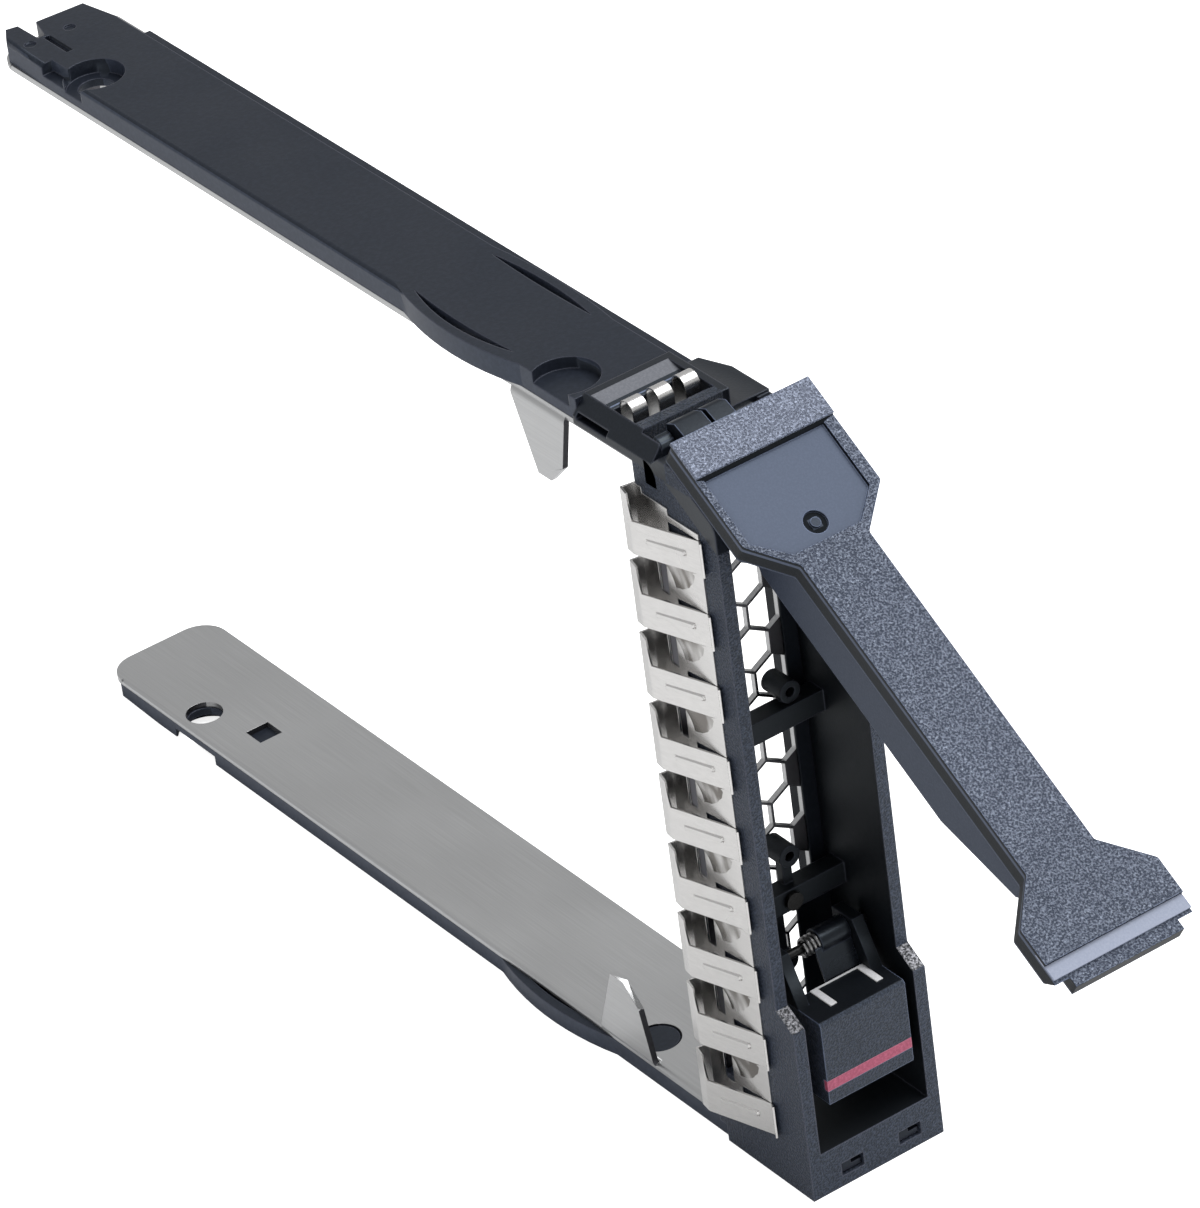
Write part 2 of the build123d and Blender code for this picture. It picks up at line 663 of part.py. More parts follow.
# Lever
with BuildPart() as lever:
    face_out = hinge_depth
    back_out = hinge_depth - lever_plate
    neck_far_x = neck_near_x + neck_width
    plan = [
        (bezel_near_x, cap_top),
        (bezel_far_x, cap_top),
        (bezel_far_x, cap_top - head_length),
        (neck_far_x, cap_top - neck_start),
        (neck_far_x, cap_top - neck_end),
        (bezel_far_x, cap_top - flare_end),
        (bezel_far_x, cap_top - lever_length),
        (bezel_near_x, cap_top - lever_length),
        (bezel_near_x, cap_top - flare_end),
        (neck_near_x, cap_top - neck_end),
        (neck_near_x, cap_top - neck_start),
        (bezel_near_x, cap_top - head_length),
    ]
    lever_slab(plan, back_out, face_out, corner_r=lever_corner_r)
    # Channel walls under the neck, joined by ribs
    web_outline = [
        (-hub_r, back_out),
        (-hub_r, -hub_r),
        (-2 * hub_r, face_out - web_depth),
        (cap_top - neck_end + web_taper, face_out - web_depth),
        (cap_top - neck_end, face_out - web_tip_depth),
        (cap_top - neck_end - 1.5, back_out),
    ]
    near_web_x = neck_near_x + web_inset
    far_web_x = neck_far_x - web_inset - web
    for web_x in (near_web_x, far_web_x):
        lever_side(web_outline, web_x, web_x + web)
    for place in rib_places:
        rib_outline = [
            (cap_top - place, back_out),
            (cap_top - place - rib, back_out),
            (cap_top - place - rib, face_out - rib_depth),
            (cap_top - place, face_out - rib_depth),
        ]
        lever_side(rib_outline, near_web_x + web, far_web_x)
    # Skirt under the flare, inside the frame's walls
    skirt_outline = [
        (cap_top - flare_end, back_out),
        (cap_top - flare_end, face_out - skirt_depth),
        (cap_top - groove_start, face_out - skirt_depth),
        (cap_top - groove_start, back_out),
    ]
    for skirt_x in (inner_near_x + gap, inner_far_x - gap - web):
        lever_side(skirt_outline, skirt_x, skirt_x + web)
    # Cam block round the hinge pin, split in two at its tip
    cam_outline = [
        (cap_top - 1, back_out),
        (cam_reach - 0.8, 0.9),
        (cam_reach, -0.2),
        (cam_reach - 0.8, -1.2),
        (2, -hub_r),
        (-2, -hub_r),
        (-3, back_out),
    ]
    lever_side(cam_outline, cam_near_x, cam_near_x + cam_width)
    split_outline = [
        (cap_top, back_out),
        (cam_reach, back_out),
        (cam_reach, -hub_r),
        (cap_top, -hub_r),
    ]
    lever_side(split_outline, cam_split_x, cam_split_x + cam_split, Mode.SUBTRACT)
    lug_near_x = inner_far_x - gap - ear
    lug_outline = [(3, back_out), (hub_r, -hub_r / 2), (0, -hub_r), (-hub_r, -hub_r / 2), (-3, back_out)]
    lever_side(lug_outline, lug_near_x, lug_near_x + ear)
    # Raised cap, sunk field with its dimple, groove and stepped lip
    cap_plan = [
        (bezel_near_x, cap_top),
        (bezel_far_x, cap_top),
        (bezel_far_x, cap_top - cap_length),
        (bezel_near_x, cap_top - cap_length),
    ]
    lever_slab(cap_plan, face_out, face_out + cap_rise)
    field_start = cap_top - cap_length - field_gap
    field_floor = face_out - field_depth
    field_plan = [
        (bezel_near_x + field_near_rim, field_start),
        (bezel_far_x - field_far_rim, field_start),
        (bezel_far_x - field_far_rim, cap_top - head_length),
        (neck_far_x - run_gap, cap_top - field_end),
        (neck_near_x + run_gap, cap_top - field_end),
        (bezel_near_x + field_near_rim, cap_top - head_length),
    ]
    lever_slab(field_plan, field_floor, face_out, Mode.SUBTRACT)
    lever_mid_x = (bezel_near_x + bezel_far_x) / 2
    dimple_at = cap_top - dimple_place
    lever_round(lever_mid_x, dimple_at, field_floor - dimple_depth, field_floor, dimple_r, Mode.SUBTRACT)
    lever_round(lever_mid_x, dimple_at, field_floor - dimple_depth, field_floor, dimple_core_r)
    for start, depth in ((groove_start, field_depth), (lip_start, field_depth + lip_step)):
        step_plan = [
            (bezel_near_x, cap_top - start),
            (bezel_far_x, cap_top - start),
            (bezel_far_x, cap_top - lever_length),
            (bezel_near_x, cap_top - lever_length),
        ]
        lever_slab(step_plan, face_out - depth, face_out, Mode.SUBTRACT)
    # Tip, bevelled behind to lie on the shoulders of the frame
    tip = cap_top - lever_length
    seat = gap - hinge_z
    tip_outline = [
        (shoulder_low + seat, face_out),
        (shoulder_high + seat, back_out),
        (shoulder_high + seat, -gap),
        (tip - 1, -gap),
        (tip - 1, face_out),
    ]
    lever_side(tip_outline, bezel_near_x, inner_near_x + gap, Mode.SUBTRACT)
    lever_side(tip_outline, inner_far_x - gap, bezel_far_x, Mode.SUBTRACT)
    cross_pin(hinge_y, hinge_z, inner_near_x, inner_far_x, pin_r + run_gap, Mode.SUBTRACT)
lever.part.label = "lever"

with BuildPart() as lever_hinge_pin:
    cross_pin(hinge_y, hinge_z, pin_near_x + pin_recess, bezel_far_x - pin_recess, pin_r)
lever_hinge_pin.part.label = "lever_hinge_pin"

# Torsion spring round the hinge pin
lever_coil_r = pin_r + coil_gap + wire_r
with BuildPart() as lever_spring:
    coil_x = cam_near_x + cam_width + 2 * wire_r
    coil_length = lug_near_x - coil_x - 2 * wire_r
    with BuildLine() as lever_coil:
        Helix(pitch=coil_pitch, height=coil_length, radius=lever_coil_r,
              center=(coil_x, hinge_y, hinge_z), direction=(1, 0, 0))
    with BuildSketch(Plane(origin=lever_coil.line @ 0, z_dir=lever_coil.line % 0)):
        RegularPolygon(wire_r, wire_sides)
    sweep()
lever_spring.part.label = "lever_spring"

# Release button: a shell with two ears on its pin
button_far_x = button_near_x + button_width
button_back_y = front_y - button_back
pin_y = front_y - button_pin_y
with BuildPart() as release_button:
    slab(button_near_x, button_far_x, face_y, button_back_y, button_bottom, button_top)
    front_edges = release_button.edges().group_by(Axis.Y)[0].group_by(Axis.Z)[-1]
    fillet(front_edges, radius=button_edge_r)
    slab(button_near_x + button_shell, button_far_x - button_shell, face_y + button_shell,
         button_back_y, button_bottom, button_top - button_shell, Mode.SUBTRACT)
    ear_outline = [
        (button_back_y - ear_r, button_top - ear_root),
        (button_back_y - ear_r, button_top),
        (pin_y - ear_r, button_pin_z + ear_r),
        (pin_y + ear_r, button_pin_z + ear_r),
        (pin_y + ear_r, button_pin_z - ear_r),
        (button_back_y, button_top - ear_root),
    ]
    for ear_x in (button_near_x, button_far_x - ear):
        side_profile(ear_outline, ear_x, ear_x + ear)
    cross_pin(pin_y, button_pin_z, button_near_x, button_far_x, button_pin_r + run_gap, Mode.SUBTRACT)
    slab(button_near_x, button_far_x, face_y, face_y + stripe_depth, stripe_low,
         stripe_low + stripe_height, Mode.SUBTRACT)
release_button.part.label = "release_button"

with BuildPart() as button_stripe:
    slab(button_near_x, button_far_x, face_y, face_y + stripe_depth, stripe_low,
         stripe_low + stripe_height)
button_stripe.part.label = "button_stripe"

# Pale U on the button's top
with BuildPart() as latch_frame:
    for bar_x in (latch_near_x, latch_far_x):
        slab(bar_x, bar_x + latch_width, front_y - latch_front, button_back_y, button_top,
             button_top + latch_rise)
    slab(latch_near_x, latch_far_x + latch_width, button_back_y - latch_bridge, button_back_y,
         button_top, button_top + latch_rise)
latch_frame.part.label = "latch_frame"

with BuildPart() as button_pivot_pin:
    cross_pin(pin_y, button_pin_z, pin_near_x + pin_recess, bezel_far_x - pin_recess, button_pin_r)
button_pivot_pin.part.label = "button_pivot_pin"

button_coil_r = button_pin_r + coil_gap + wire_r
with BuildPart() as button_spring:
    with BuildLine() as button_coil:
        Helix(pitch=coil_pitch, height=button_coil_length, radius=button_coil_r,
              center=(button_coil_x, pin_y, button_pin_z), direction=(1, 0, 0))
    with BuildSketch(Plane(origin=button_coil.line @ 0, z_dir=button_coil.line % 0)):
        RegularPolygon(wire_r, wire_sides)
    sweep()
    leg_start = (button_coil_x, pin_y - button_coil_r, button_pin_z)
    leg_way = (0, -cos(radians(leg_angle)), -sin(radians(leg_angle)))
    with BuildSketch(Plane(origin=leg_start, x_dir=(1, 0, 0), z_dir=leg_way)) as leg:
        RegularPolygon(wire_r, wire_sides)
    extrude(leg.sketch, amount=leg_length)
button_spring.part.label = "button_spring"

# Screw in the lower bar
with BuildPart() as carrier_screw:
    lengthwise(screw_x, bar_tops[1] - bar_height / 2, bar_front_y - screw_rise, bar_front_y, screw_r)
carrier_screw.part.label = "carrier_screw"

# Side contact strip: one pressed strip, whose bands slope outwards and fold back at the rear
strip_out_x = bezel_near_x - strip
band_front_y = front_y - finger_front
band_kink_y = band_front_y + lip_length
band_fold_y = front_y - finger_rear
band_out_x = strip_out_x - finger_lean
strip_low = finger_top - (finger_count - 1) * finger_pitch - finger_height
with BuildPart() as side_contact_strip:
    # Inner sheet against the wall, with a window beside each gap between bands
    slab(strip_out_x, bezel_near_x, front_y - scoop_rear, band_fold_y + strip, strip_low,
         finger_top + wing_rise / 2)
    for index in range(finger_count - 1):
        gap_top = finger_top - index * finger_pitch - finger_height
        slab(strip_out_x, bezel_near_x, front_y - strip_window[1], front_y - strip_window[0],
             gap_top - finger_pitch + finger_height - finger_drop, gap_top, Mode.SUBTRACT)
    slab(strip_out_x, bezel_near_x, band_kink_y, front_y - scoop_rear, finger_top,
         finger_top + lip_length)
    # Plan of a band: flared lip, slope, and the fold back to the wall
    with BuildSketch(Plane.XY.offset(strip_low - wing_rise)) as band_plan:
        with BuildLine() as band_path:
            Line((strip_out_x - lip_flare, band_front_y), (strip_out_x + strip / 2, band_kink_y))
            FilletPolyline(
                (strip_out_x + strip / 2, band_kink_y),
                (band_out_x, band_fold_y),
                (band_out_x + 2 * strip, band_fold_y + fold_depth),
                radius=2 * strip,
            )
            Polyline(
                (band_out_x + 2 * strip, band_fold_y + fold_depth),
                (strip_out_x + strip / 2, band_fold_y + fold_depth - strip),
                (strip_out_x + strip / 2, band_fold_y),
            )
        trace(band_path.line, line_width=strip)
    band_run = extrude(band_plan.sketch, amount=finger_top - strip_low + 3 * wing_rise,
                       mode=Mode.PRIVATE)
    # Side view of one band, with the rear fold rising above it
    with BuildSketch(Plane.YZ.offset(band_out_x - finger_lean)) as band_side:
        for index in range(finger_count):
            with BuildLine():
                top = finger_top - index * finger_pitch
                rear_top = top - finger_drop
                fold_rear_y = band_fold_y + fold_depth + strip
                Polyline(
                    (band_front_y - strip, top),
                    (band_front_y - strip, top - finger_height),
                    (band_fold_y, rear_top - finger_height),
                    (fold_rear_y, rear_top - finger_height - finger_drop / 2),
                    (fold_rear_y, rear_top + wing_rise),
                    (band_fold_y + strip, rear_top + wing_rise),
                    (band_fold_y - strip, rear_top),
                    close=True,
                )
            make_face()
    band_reach = extrude(band_side.sketch, amount=3 * finger_lean, mode=Mode.PRIVATE)
    add(band_run & band_reach)
    # Pressed ridge along the middle of each band
    ridge_way = Vector(-finger_lean, band_fold_y - band_kink_y, -finger_drop)
    ridge_out = Vector(band_kink_y - band_fold_y, -finger_lean, 0)
    for index in range(finger_count):
        ridge_z = finger_top - index * finger_pitch - (finger_height + finger_drop) / 2
        ridge_spot = (strip_out_x - finger_lean / 2, (band_kink_y + band_fold_y) / 2, ridge_z)
        with BuildSketch(Plane(origin=ridge_spot, x_dir=ridge_way, z_dir=ridge_out)) as ridge:
            Rectangle(ridge_length, ridge_width)
        extrude(ridge.sketch, amount=ridge_rise)
    # Concave sheet under each band, down to the next band's top
    lean_share = (band_kink_y - front_y + scoop_rear) / (band_kink_y - band_fold_y)
    scoop_x = strip_out_x - finger_lean * lean_share
    for index in range(finger_count - 1):
        low = finger_top - (index + 1) * finger_pitch
        high = low + finger_pitch - finger_height
        with BuildSketch(Plane.XZ.offset(-band_kink_y)) as scoop_front:
            with Locations((bezel_near_x - strip / 2, (low + high) / 2)):
                Rectangle(strip, high - low)
        with BuildSketch(Plane.XZ.offset(scoop_rear - front_y)) as scoop_back:
            drop = finger_drop * lean_share
            mid_x = (scoop_x + bezel_near_x) / 2 + scoop_sag
            mid_z = (low + high) / 2 - drop
            with BuildLine():
                ThreePointArc((scoop_x, high - drop), (mid_x - strip, mid_z), (strip_out_x, low - drop))
                Line((strip_out_x, low - drop), (bezel_near_x, low - drop))
                ThreePointArc((bezel_near_x, low - drop), (mid_x, mid_z), (scoop_x + strip, high - drop))
                Line((scoop_x + strip, high - drop), (scoop_x, high - drop))
            make_face()
        loft([scoop_front.sketch.face(), scoop_back.sketch.face()], ruled=True)
side_contact_strip.part.label = "side_contact_strip"

# Top contact strip: three arched fingers joined by a flat foot
with BuildPart() as top_contact_strip:
    curl_y = front_y - (slot_rear + slot_front) / 2
    curl_z = upper_steel + strip + curl_leg
    slab(slot_near_x + gap, slot_far_x - gap, curl_y - curl_r, curl_y + curl_r, upper_steel,
         upper_steel + strip)
    for index in range(curl_count):
        curl_x = curl_near_x + index * curl_pitch
        cross_pin(curl_y, curl_z, curl_x, curl_x + curl_width, curl_r)
        slab(curl_x, curl_x + curl_width, curl_y - curl_r, curl_y + curl_r, upper_steel, curl_z)
        cross_pin(curl_y, curl_z, curl_x, curl_x + curl_width, curl_r - strip, Mode.SUBTRACT)
        slab(curl_x, curl_x + curl_width, curl_y - curl_r + strip, curl_y + curl_r - strip,
             upper_steel + strip, curl_z, Mode.SUBTRACT)
    slab(slot_near_x, slot_far_x, curl_y - curl_r, curl_y + curl_r, upper_steel - curl_r, upper_steel,
         Mode.SUBTRACT)
top_contact_strip.part.label = "top_contact_strip"

export_step(steel_carrier.part, "parts/steel_carrier.step")
export_step(upper_rail.part, "parts/upper_rail.step")
export_step(lower_rail.part, "parts/lower_rail.step")
export_step(bezel_frame.part, "parts/bezel_frame.step")
export_step(lever.part, "parts/lever.step")
export_step(lever_hinge_pin.part, "parts/lever_hinge_pin.step")
export_step(lever_spring.part, "parts/lever_spring.step")
export_step(release_button.part, "parts/release_button.step")
export_step(button_stripe.part, "parts/button_stripe.step")
export_step(latch_frame.part, "parts/latch_frame.step")
export_step(button_pivot_pin.part, "parts/button_pivot_pin.step")
export_step(button_spring.part, "parts/button_spring.step")
export_step(carrier_screw.part, "parts/carrier_screw.step")
export_step(side_contact_strip.part, "parts/side_contact_strip.step")
export_step(top_contact_strip.part, "parts/top_contact_strip.step")
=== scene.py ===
"""Looks of a hot swap drive caddy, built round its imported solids."""

import logging
import math
from dataclasses import dataclass
from enum import Enum
from functools import cache

import bmesh
import bpy
from mathutils import Matrix, Vector


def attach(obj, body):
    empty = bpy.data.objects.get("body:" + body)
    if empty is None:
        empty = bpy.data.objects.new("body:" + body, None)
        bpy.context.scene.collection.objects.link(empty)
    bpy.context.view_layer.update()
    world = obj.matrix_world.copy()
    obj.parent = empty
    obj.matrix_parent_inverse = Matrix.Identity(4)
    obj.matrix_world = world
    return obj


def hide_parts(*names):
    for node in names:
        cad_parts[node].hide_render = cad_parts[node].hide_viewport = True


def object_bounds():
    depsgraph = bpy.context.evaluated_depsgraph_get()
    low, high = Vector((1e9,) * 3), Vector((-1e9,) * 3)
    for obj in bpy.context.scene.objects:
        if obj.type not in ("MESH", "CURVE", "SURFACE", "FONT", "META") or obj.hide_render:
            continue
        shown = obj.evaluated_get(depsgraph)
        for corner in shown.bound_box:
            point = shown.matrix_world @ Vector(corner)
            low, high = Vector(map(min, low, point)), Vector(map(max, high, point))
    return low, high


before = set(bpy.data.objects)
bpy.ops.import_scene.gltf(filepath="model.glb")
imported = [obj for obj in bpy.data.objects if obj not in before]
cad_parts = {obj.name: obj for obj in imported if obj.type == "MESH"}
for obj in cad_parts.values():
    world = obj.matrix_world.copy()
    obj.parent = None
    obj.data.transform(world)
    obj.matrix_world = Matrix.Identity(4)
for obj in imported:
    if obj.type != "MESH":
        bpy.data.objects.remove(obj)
CAD_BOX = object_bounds()
LOG = logging.getLogger("caddy")
MM = 0.001

# Vertices closer than the first are joined, flatter bends than the second become one face, and sharper ones than
# the third stay sharp in the shading
JOIN_MM = 0.0005
FLAT_DEG = 0.4
SHARP_DEG = 28.0

# The share of a texture's frequency that stays along each axis, where it is drawn out
GRAIN_DRAW = (1.0, 0.012, 1.0)
STREAK_DRAW = (1.0, 1.0, 0.22)


class Body(Enum):
    """The bodies that pieces ride on."""

    CARRIER = "carrier"
    LEVER = "ejector_lever"
    BUTTON = "button"


class Graph:
    """A node tree with short ways to add and join nodes."""

    def __init__(self, tree: bpy.types.NodeTree) -> None:
        """Take the tree that the nodes go into."""
        self.tree = tree

    def add(self, kind: str, inputs: dict | None = None, **settings: object) -> bpy.types.Node:
        """Add one node.

        Args:
            kind: Blender's type name of the node.
            inputs: socket name or number to a value or to another node's output.
            settings: the node's own properties.

        Returns:
            The new node.
        """
        node = self.tree.nodes.new(kind)
        for key, value in settings.items():
            setattr(node, key, value)
        for key, value in (inputs or {}).items():
            if isinstance(value, bpy.types.NodeSocket):
                self.tree.links.new(value, node.inputs[key])
            else:
                node.inputs[key].default_value = value
        return node

    def object_place(self) -> bpy.types.NodeSocket:
        """Where a point lies in the piece's own coordinates."""
        return self.add("ShaderNodeTexCoord").outputs["Object"]

    def drawn_out(self, draw: tuple[float, float, float]) -> bpy.types.NodeSocket:
        """The same place, with each axis scaled, so that a texture on it is drawn out."""
        return self.add("ShaderNodeMapping", {"Vector": self.object_place(), "Scale": draw}).outputs[0]

    def times(self, first: object, second: object) -> bpy.types.NodeSocket:
        """Multiply two numbers."""
        return self.add("ShaderNodeMath", {0: first, 1: second}, operation="MULTIPLY").outputs[0]

    def ramp(self, value: bpy.types.NodeSocket, low: float, high: float) -> bpy.types.NodeSocket:
        """Stretch a value so that low gives 0 and high gives 1."""
        node = self.add("ShaderNodeMapRange", {"Value": value, "From Min": low, "From Max": high})
        return node.outputs["Result"]

    def spread(self, value: bpy.types.NodeSocket, low: float, high: float) -> bpy.types.NodeSocket:
        """Turn a value from 0 to 1 into one from low to high."""
        node = self.add("ShaderNodeMapRange", {"Value": value, "To Min": low, "To Max": high})
        return node.outputs["Result"]

    def blend(self, share: bpy.types.NodeSocket, low: object, high: object) -> bpy.types.NodeSocket:
        """Mix two numbers by a share. Their sockets are 2 and 3 of a Mix node."""
        return self.add("ShaderNodeMix", {0: share, 2: low, 3: high}, data_type="FLOAT").outputs[0]

    def mix(self, share: bpy.types.NodeSocket, dark: object, light: object) -> bpy.types.NodeSocket:
        """Mix two colours by a share. Their sockets are 6 and 7 of a Mix node, and the result's is 2."""
        return self.add("ShaderNodeMix", {0: share, 6: dark, 7: light}, data_type="RGBA").outputs[2]


def new_group(name: str, inputs: dict[str, float], outputs: tuple[str, ...]) -> tuple[Graph, dict]:
    """Start a shader node group.

    Args:
        name: the group's name.
        inputs: number inputs with their defaults.
        outputs: number outputs, apart from one called Normal, which is a vector.

    Returns:
        The group's graph, and its own input and output nodes.
    """
    tree = bpy.data.node_groups.new(name, "ShaderNodeTree")
    for key, value in inputs.items():
        socket = tree.interface.new_socket(key, in_out="INPUT", socket_type="NodeSocketFloat")
        socket.default_value = value
    for key in outputs:
        kind = "NodeSocketVector" if key == "Normal" else "NodeSocketFloat"
        tree.interface.new_socket(key, in_out="OUTPUT", socket_type=kind)
    graph = Graph(tree)
    ends = {"in": graph.add("NodeGroupInput"), "out": graph.add("NodeGroupOutput")}
    return graph, ends


class Effects:
    """The shader node groups that several finishes share."""

    def __init__(self) -> None:
        """Build each group once."""
        self.spark = self._spark()
        self.grain = self._grain()
        self.patches = self._patches()
        self.streaks = self._streaks()
        self.edges = self._edges()

    @staticmethod
    def _noise(graph: Graph, ends: dict, size: str, where: bpy.types.NodeSocket,
               **values: float) -> bpy.types.NodeSocket:
        """Add a noise whose size in millimetres comes in through the group.

        Args:
            graph: the group's graph.
            ends: the group's own input and output nodes.
            size: the name of the group's input.
            where: the coordinates that the noise reads.
            values: the noise's detail and roughness.

        Returns:
            The noise, from 0 to 1.
        """
        scale = graph.add("ShaderNodeMath", {0: 1.0 / MM, 1: ends["in"].outputs[size]}, operation="DIVIDE")
        noise = graph.add("ShaderNodeTexNoise", {"Vector": where, "Scale": scale.outputs[0], **values})
        return noise.outputs["Fac"]

    def _spark(self) -> bpy.types.NodeTree:
        """Spark-eroded texture of a mould: packed pits and bumps, toned lighter where high, partly as painted
        light.
        """
        graph, ends = new_group("spark_texture", {"Size": 0.35}, ("Height", "Tone"))
        fine = self._noise(graph, ends, "Size", graph.object_place(), Detail=2.0, Roughness=0.6)
        links = graph.tree.links
        links.new(graph.ramp(fine, 0.3, 0.7), ends["out"].inputs["Height"])
        links.new(graph.ramp(fine, 0.42, 0.68), ends["out"].inputs["Tone"])
        return graph.tree

    def _grain(self) -> bpy.types.NodeTree:
        """Rolling grain of sheet steel, drawn out along Y."""
        graph, ends = new_group("rolled_grain", {"Width": 0.12}, ("Height", "Tone"))
        lines = self._noise(graph, ends, "Width", graph.drawn_out(GRAIN_DRAW), Detail=4.0, Roughness=0.6)
        links = graph.tree.links
        links.new(lines, ends["out"].inputs["Height"])
        links.new(graph.ramp(lines, 0.3, 0.7), ends["out"].inputs["Tone"])
        return graph.tree

    def _patches(self) -> bpy.types.NodeTree:
        """Soft large patches, such as the sheen of handled plastic."""
        graph, ends = new_group("soft_patches", {"Size": 9.0}, ("Tone",))
        cloud = self._noise(graph, ends, "Size", graph.object_place(), Detail=2.0)
        graph.tree.links.new(graph.ramp(cloud, 0.35, 0.65), ends["out"].inputs["Tone"])
        return graph.tree

    def _streaks(self) -> bpy.types.NodeTree:
        """Upright streaks of painted reflection, as a curved bright sheet shows them."""
        graph, ends = new_group("reflection_streaks", {"Size": 1.0}, ("Tone",))
        lines = self._noise(graph, ends, "Size", graph.drawn_out(STREAK_DRAW), Detail=1.0)
        graph.tree.links.new(graph.ramp(lines, 0.3, 0.52), ends["out"].inputs["Tone"])
        return graph.tree

    def _edges(self) -> bpy.types.NodeTree:
        """Rounded edges: their normals, and a mask along them where a painted highlight goes."""
        graph, ends = new_group("rounded_edges", {"Radius": 0.15}, ("Mask", "Normal"))
        radius = graph.times(ends["in"].outputs["Radius"], MM)
        soft = graph.add("ShaderNodeBevel", {"Radius": radius}, samples=6)
        plain = graph.add("ShaderNodeNewGeometry")
        turn = graph.add("ShaderNodeVectorMath", {0: soft.outputs[0], 1: plain.outputs["Normal"]},
                         operation="DOT_PRODUCT")
        links = graph.tree.links
        links.new(graph.ramp(turn.outputs["Value"], 0.99, 0.85), ends["out"].inputs["Mask"])
        links.new(soft.outputs[0], ends["out"].inputs["Normal"])
        return graph.tree


EFFECTS = Effects()


def place(graph: Graph, tree: bpy.types.NodeTree, **values: float) -> bpy.types.Node:
    """Place a shared group in a material.

    Args:
        graph: the material's graph.
        tree: the group.
        values: the values of the group's inputs here.

    Returns:
        The group's node.
    """
    return graph.add("ShaderNodeGroup", values, node_tree=tree)


def start_material(name: str) -> tuple[bpy.types.Material, Graph, bpy.types.Node]:
    """Make a material with a graph and its Principled shader."""
    material = bpy.data.materials.new(name)
    material.use_nodes = True
    graph = Graph(material.node_tree)
    return material, graph, material.node_tree.nodes["Principled BSDF"]


class Source(Enum):
    """What a zone is measured on."""

    PLACE = "Object"
    FACING = "Normal"


@dataclass(frozen=True)
class Zone:
    """A range along one direction: of place in millimetres, or of how far a face looks that way."""

    way: tuple[float, float, float]
    low: float
    high: float
    source: Source = Source.PLACE

    def mask(self, graph: Graph, texture: bpy.types.Node) -> bpy.types.NodeSocket:
        """Build the nodes that give 1 inside the range and 0 elsewhere.

        Args:
            graph: the material's graph.
            texture: its Texture Coordinate node.

        Returns:
            The mask.
        """
        unit = MM if self.source is Source.PLACE else 1.0
        along = graph.add("ShaderNodeVectorMath", {0: texture.outputs[self.source.value], 1: self.way},
                          operation="DOT_PRODUCT").outputs["Value"]
        over = graph.add("ShaderNodeMath", {0: along, 1: self.low * unit}, operation="GREATER_THAN")
        under = graph.add("ShaderNodeMath", {0: along, 1: self.high * unit}, operation="LESS_THAN")
        return graph.times(over.outputs[0], under.outputs[0])


def facing(way: tuple[float, float, float], least: float = 0.95) -> Zone:
    """The faces that look along a direction."""
    return Zone(way, least, 1.1, Source.FACING)


@dataclass(frozen=True)
class Patch:
    """A part of a moulding with its own finish, or with its own painted light or shade: where it is and how it
    looks.
    """

    zones: tuple[Zone, ...]
    dark: tuple[float, float, float, float]
    light: tuple[float, float, float, float]
    roughness: float
    bump_share: float = 0.06
    edge_highlight_share: float = 1.0

    def mask(self, graph: Graph, texture: bpy.types.Node) -> bpy.types.NodeSocket:
        """Build the nodes that give 1 where all the patch's zones meet."""
        inside, *others = [zone.mask(graph, texture) for zone in self.zones]
        for mask in others:
            inside = graph.times(inside, mask)
        return inside


@dataclass(frozen=True)
class Moulding:
    """Moulded plastic, textured or smooth."""

    name: str
    dark: tuple[float, float, float, float]
    light: tuple[float, float, float, float]
    # The colour of the painted highlight along the rounded edges
    edge: tuple[float, float, float, float]
    roughness: tuple[float, float]
    grain_mm: float
    bump: float
    specular: float = 0.5
    edge_mm: float = 0.18
    patches: tuple[Patch, ...] = ()
    relief_mm: float = 0.12
    sheen_mm: float = 12.0
    sheen_bump: float = 0.9
    tint: tuple[float, float, float, float] = (0.74, 0.87, 1.0, 1.0)

    @cache
    def material(self) -> bpy.types.Material:
        """Build the material, once."""
        material, graph, shader = start_material(self.name)
        spark = place(graph, EFFECTS.spark, Size=self.grain_mm)
        sheen = place(graph, EFFECTS.patches, Size=self.sheen_mm).outputs["Tone"]
        edges = place(graph, EFFECTS.edges, Radius=self.edge_mm)
        color = graph.mix(spark.outputs["Tone"], self.dark, self.light)
        rough = graph.spread(sheen, *self.roughness)
        depth = graph.spread(sheen, self.bump * self.sheen_bump, self.bump)
        edge_highlight = edges.outputs["Mask"]
        texture = graph.add("ShaderNodeTexCoord")
        for patch in self.patches:
            inside = patch.mask(graph, texture)
            color = graph.mix(inside, color, graph.mix(spark.outputs["Tone"], patch.dark, patch.light))
            rough = graph.blend(inside, rough, patch.roughness)
            depth = graph.blend(inside, depth, self.bump * patch.bump_share)
            edge_highlight = graph.blend(inside, edge_highlight, graph.times(edge_highlight, patch.edge_highlight_share))
        links = graph.tree.links
        # Mix in the painted highlight along the edges
        links.new(graph.mix(edge_highlight, color, self.edge), shader.inputs["Base Color"])
        links.new(rough, shader.inputs["Roughness"])
        shader.inputs["Specular IOR Level"].default_value = self.specular
        shader.inputs["Specular Tint"].default_value = self.tint
        bump = graph.add("ShaderNodeBump", {"Height": spark.outputs["Height"], "Strength": depth,
                                            "Distance": self.relief_mm * MM, "Normal": edges.outputs["Normal"]})
        links.new(bump.outputs[0], shader.inputs["Normal"])
        return material


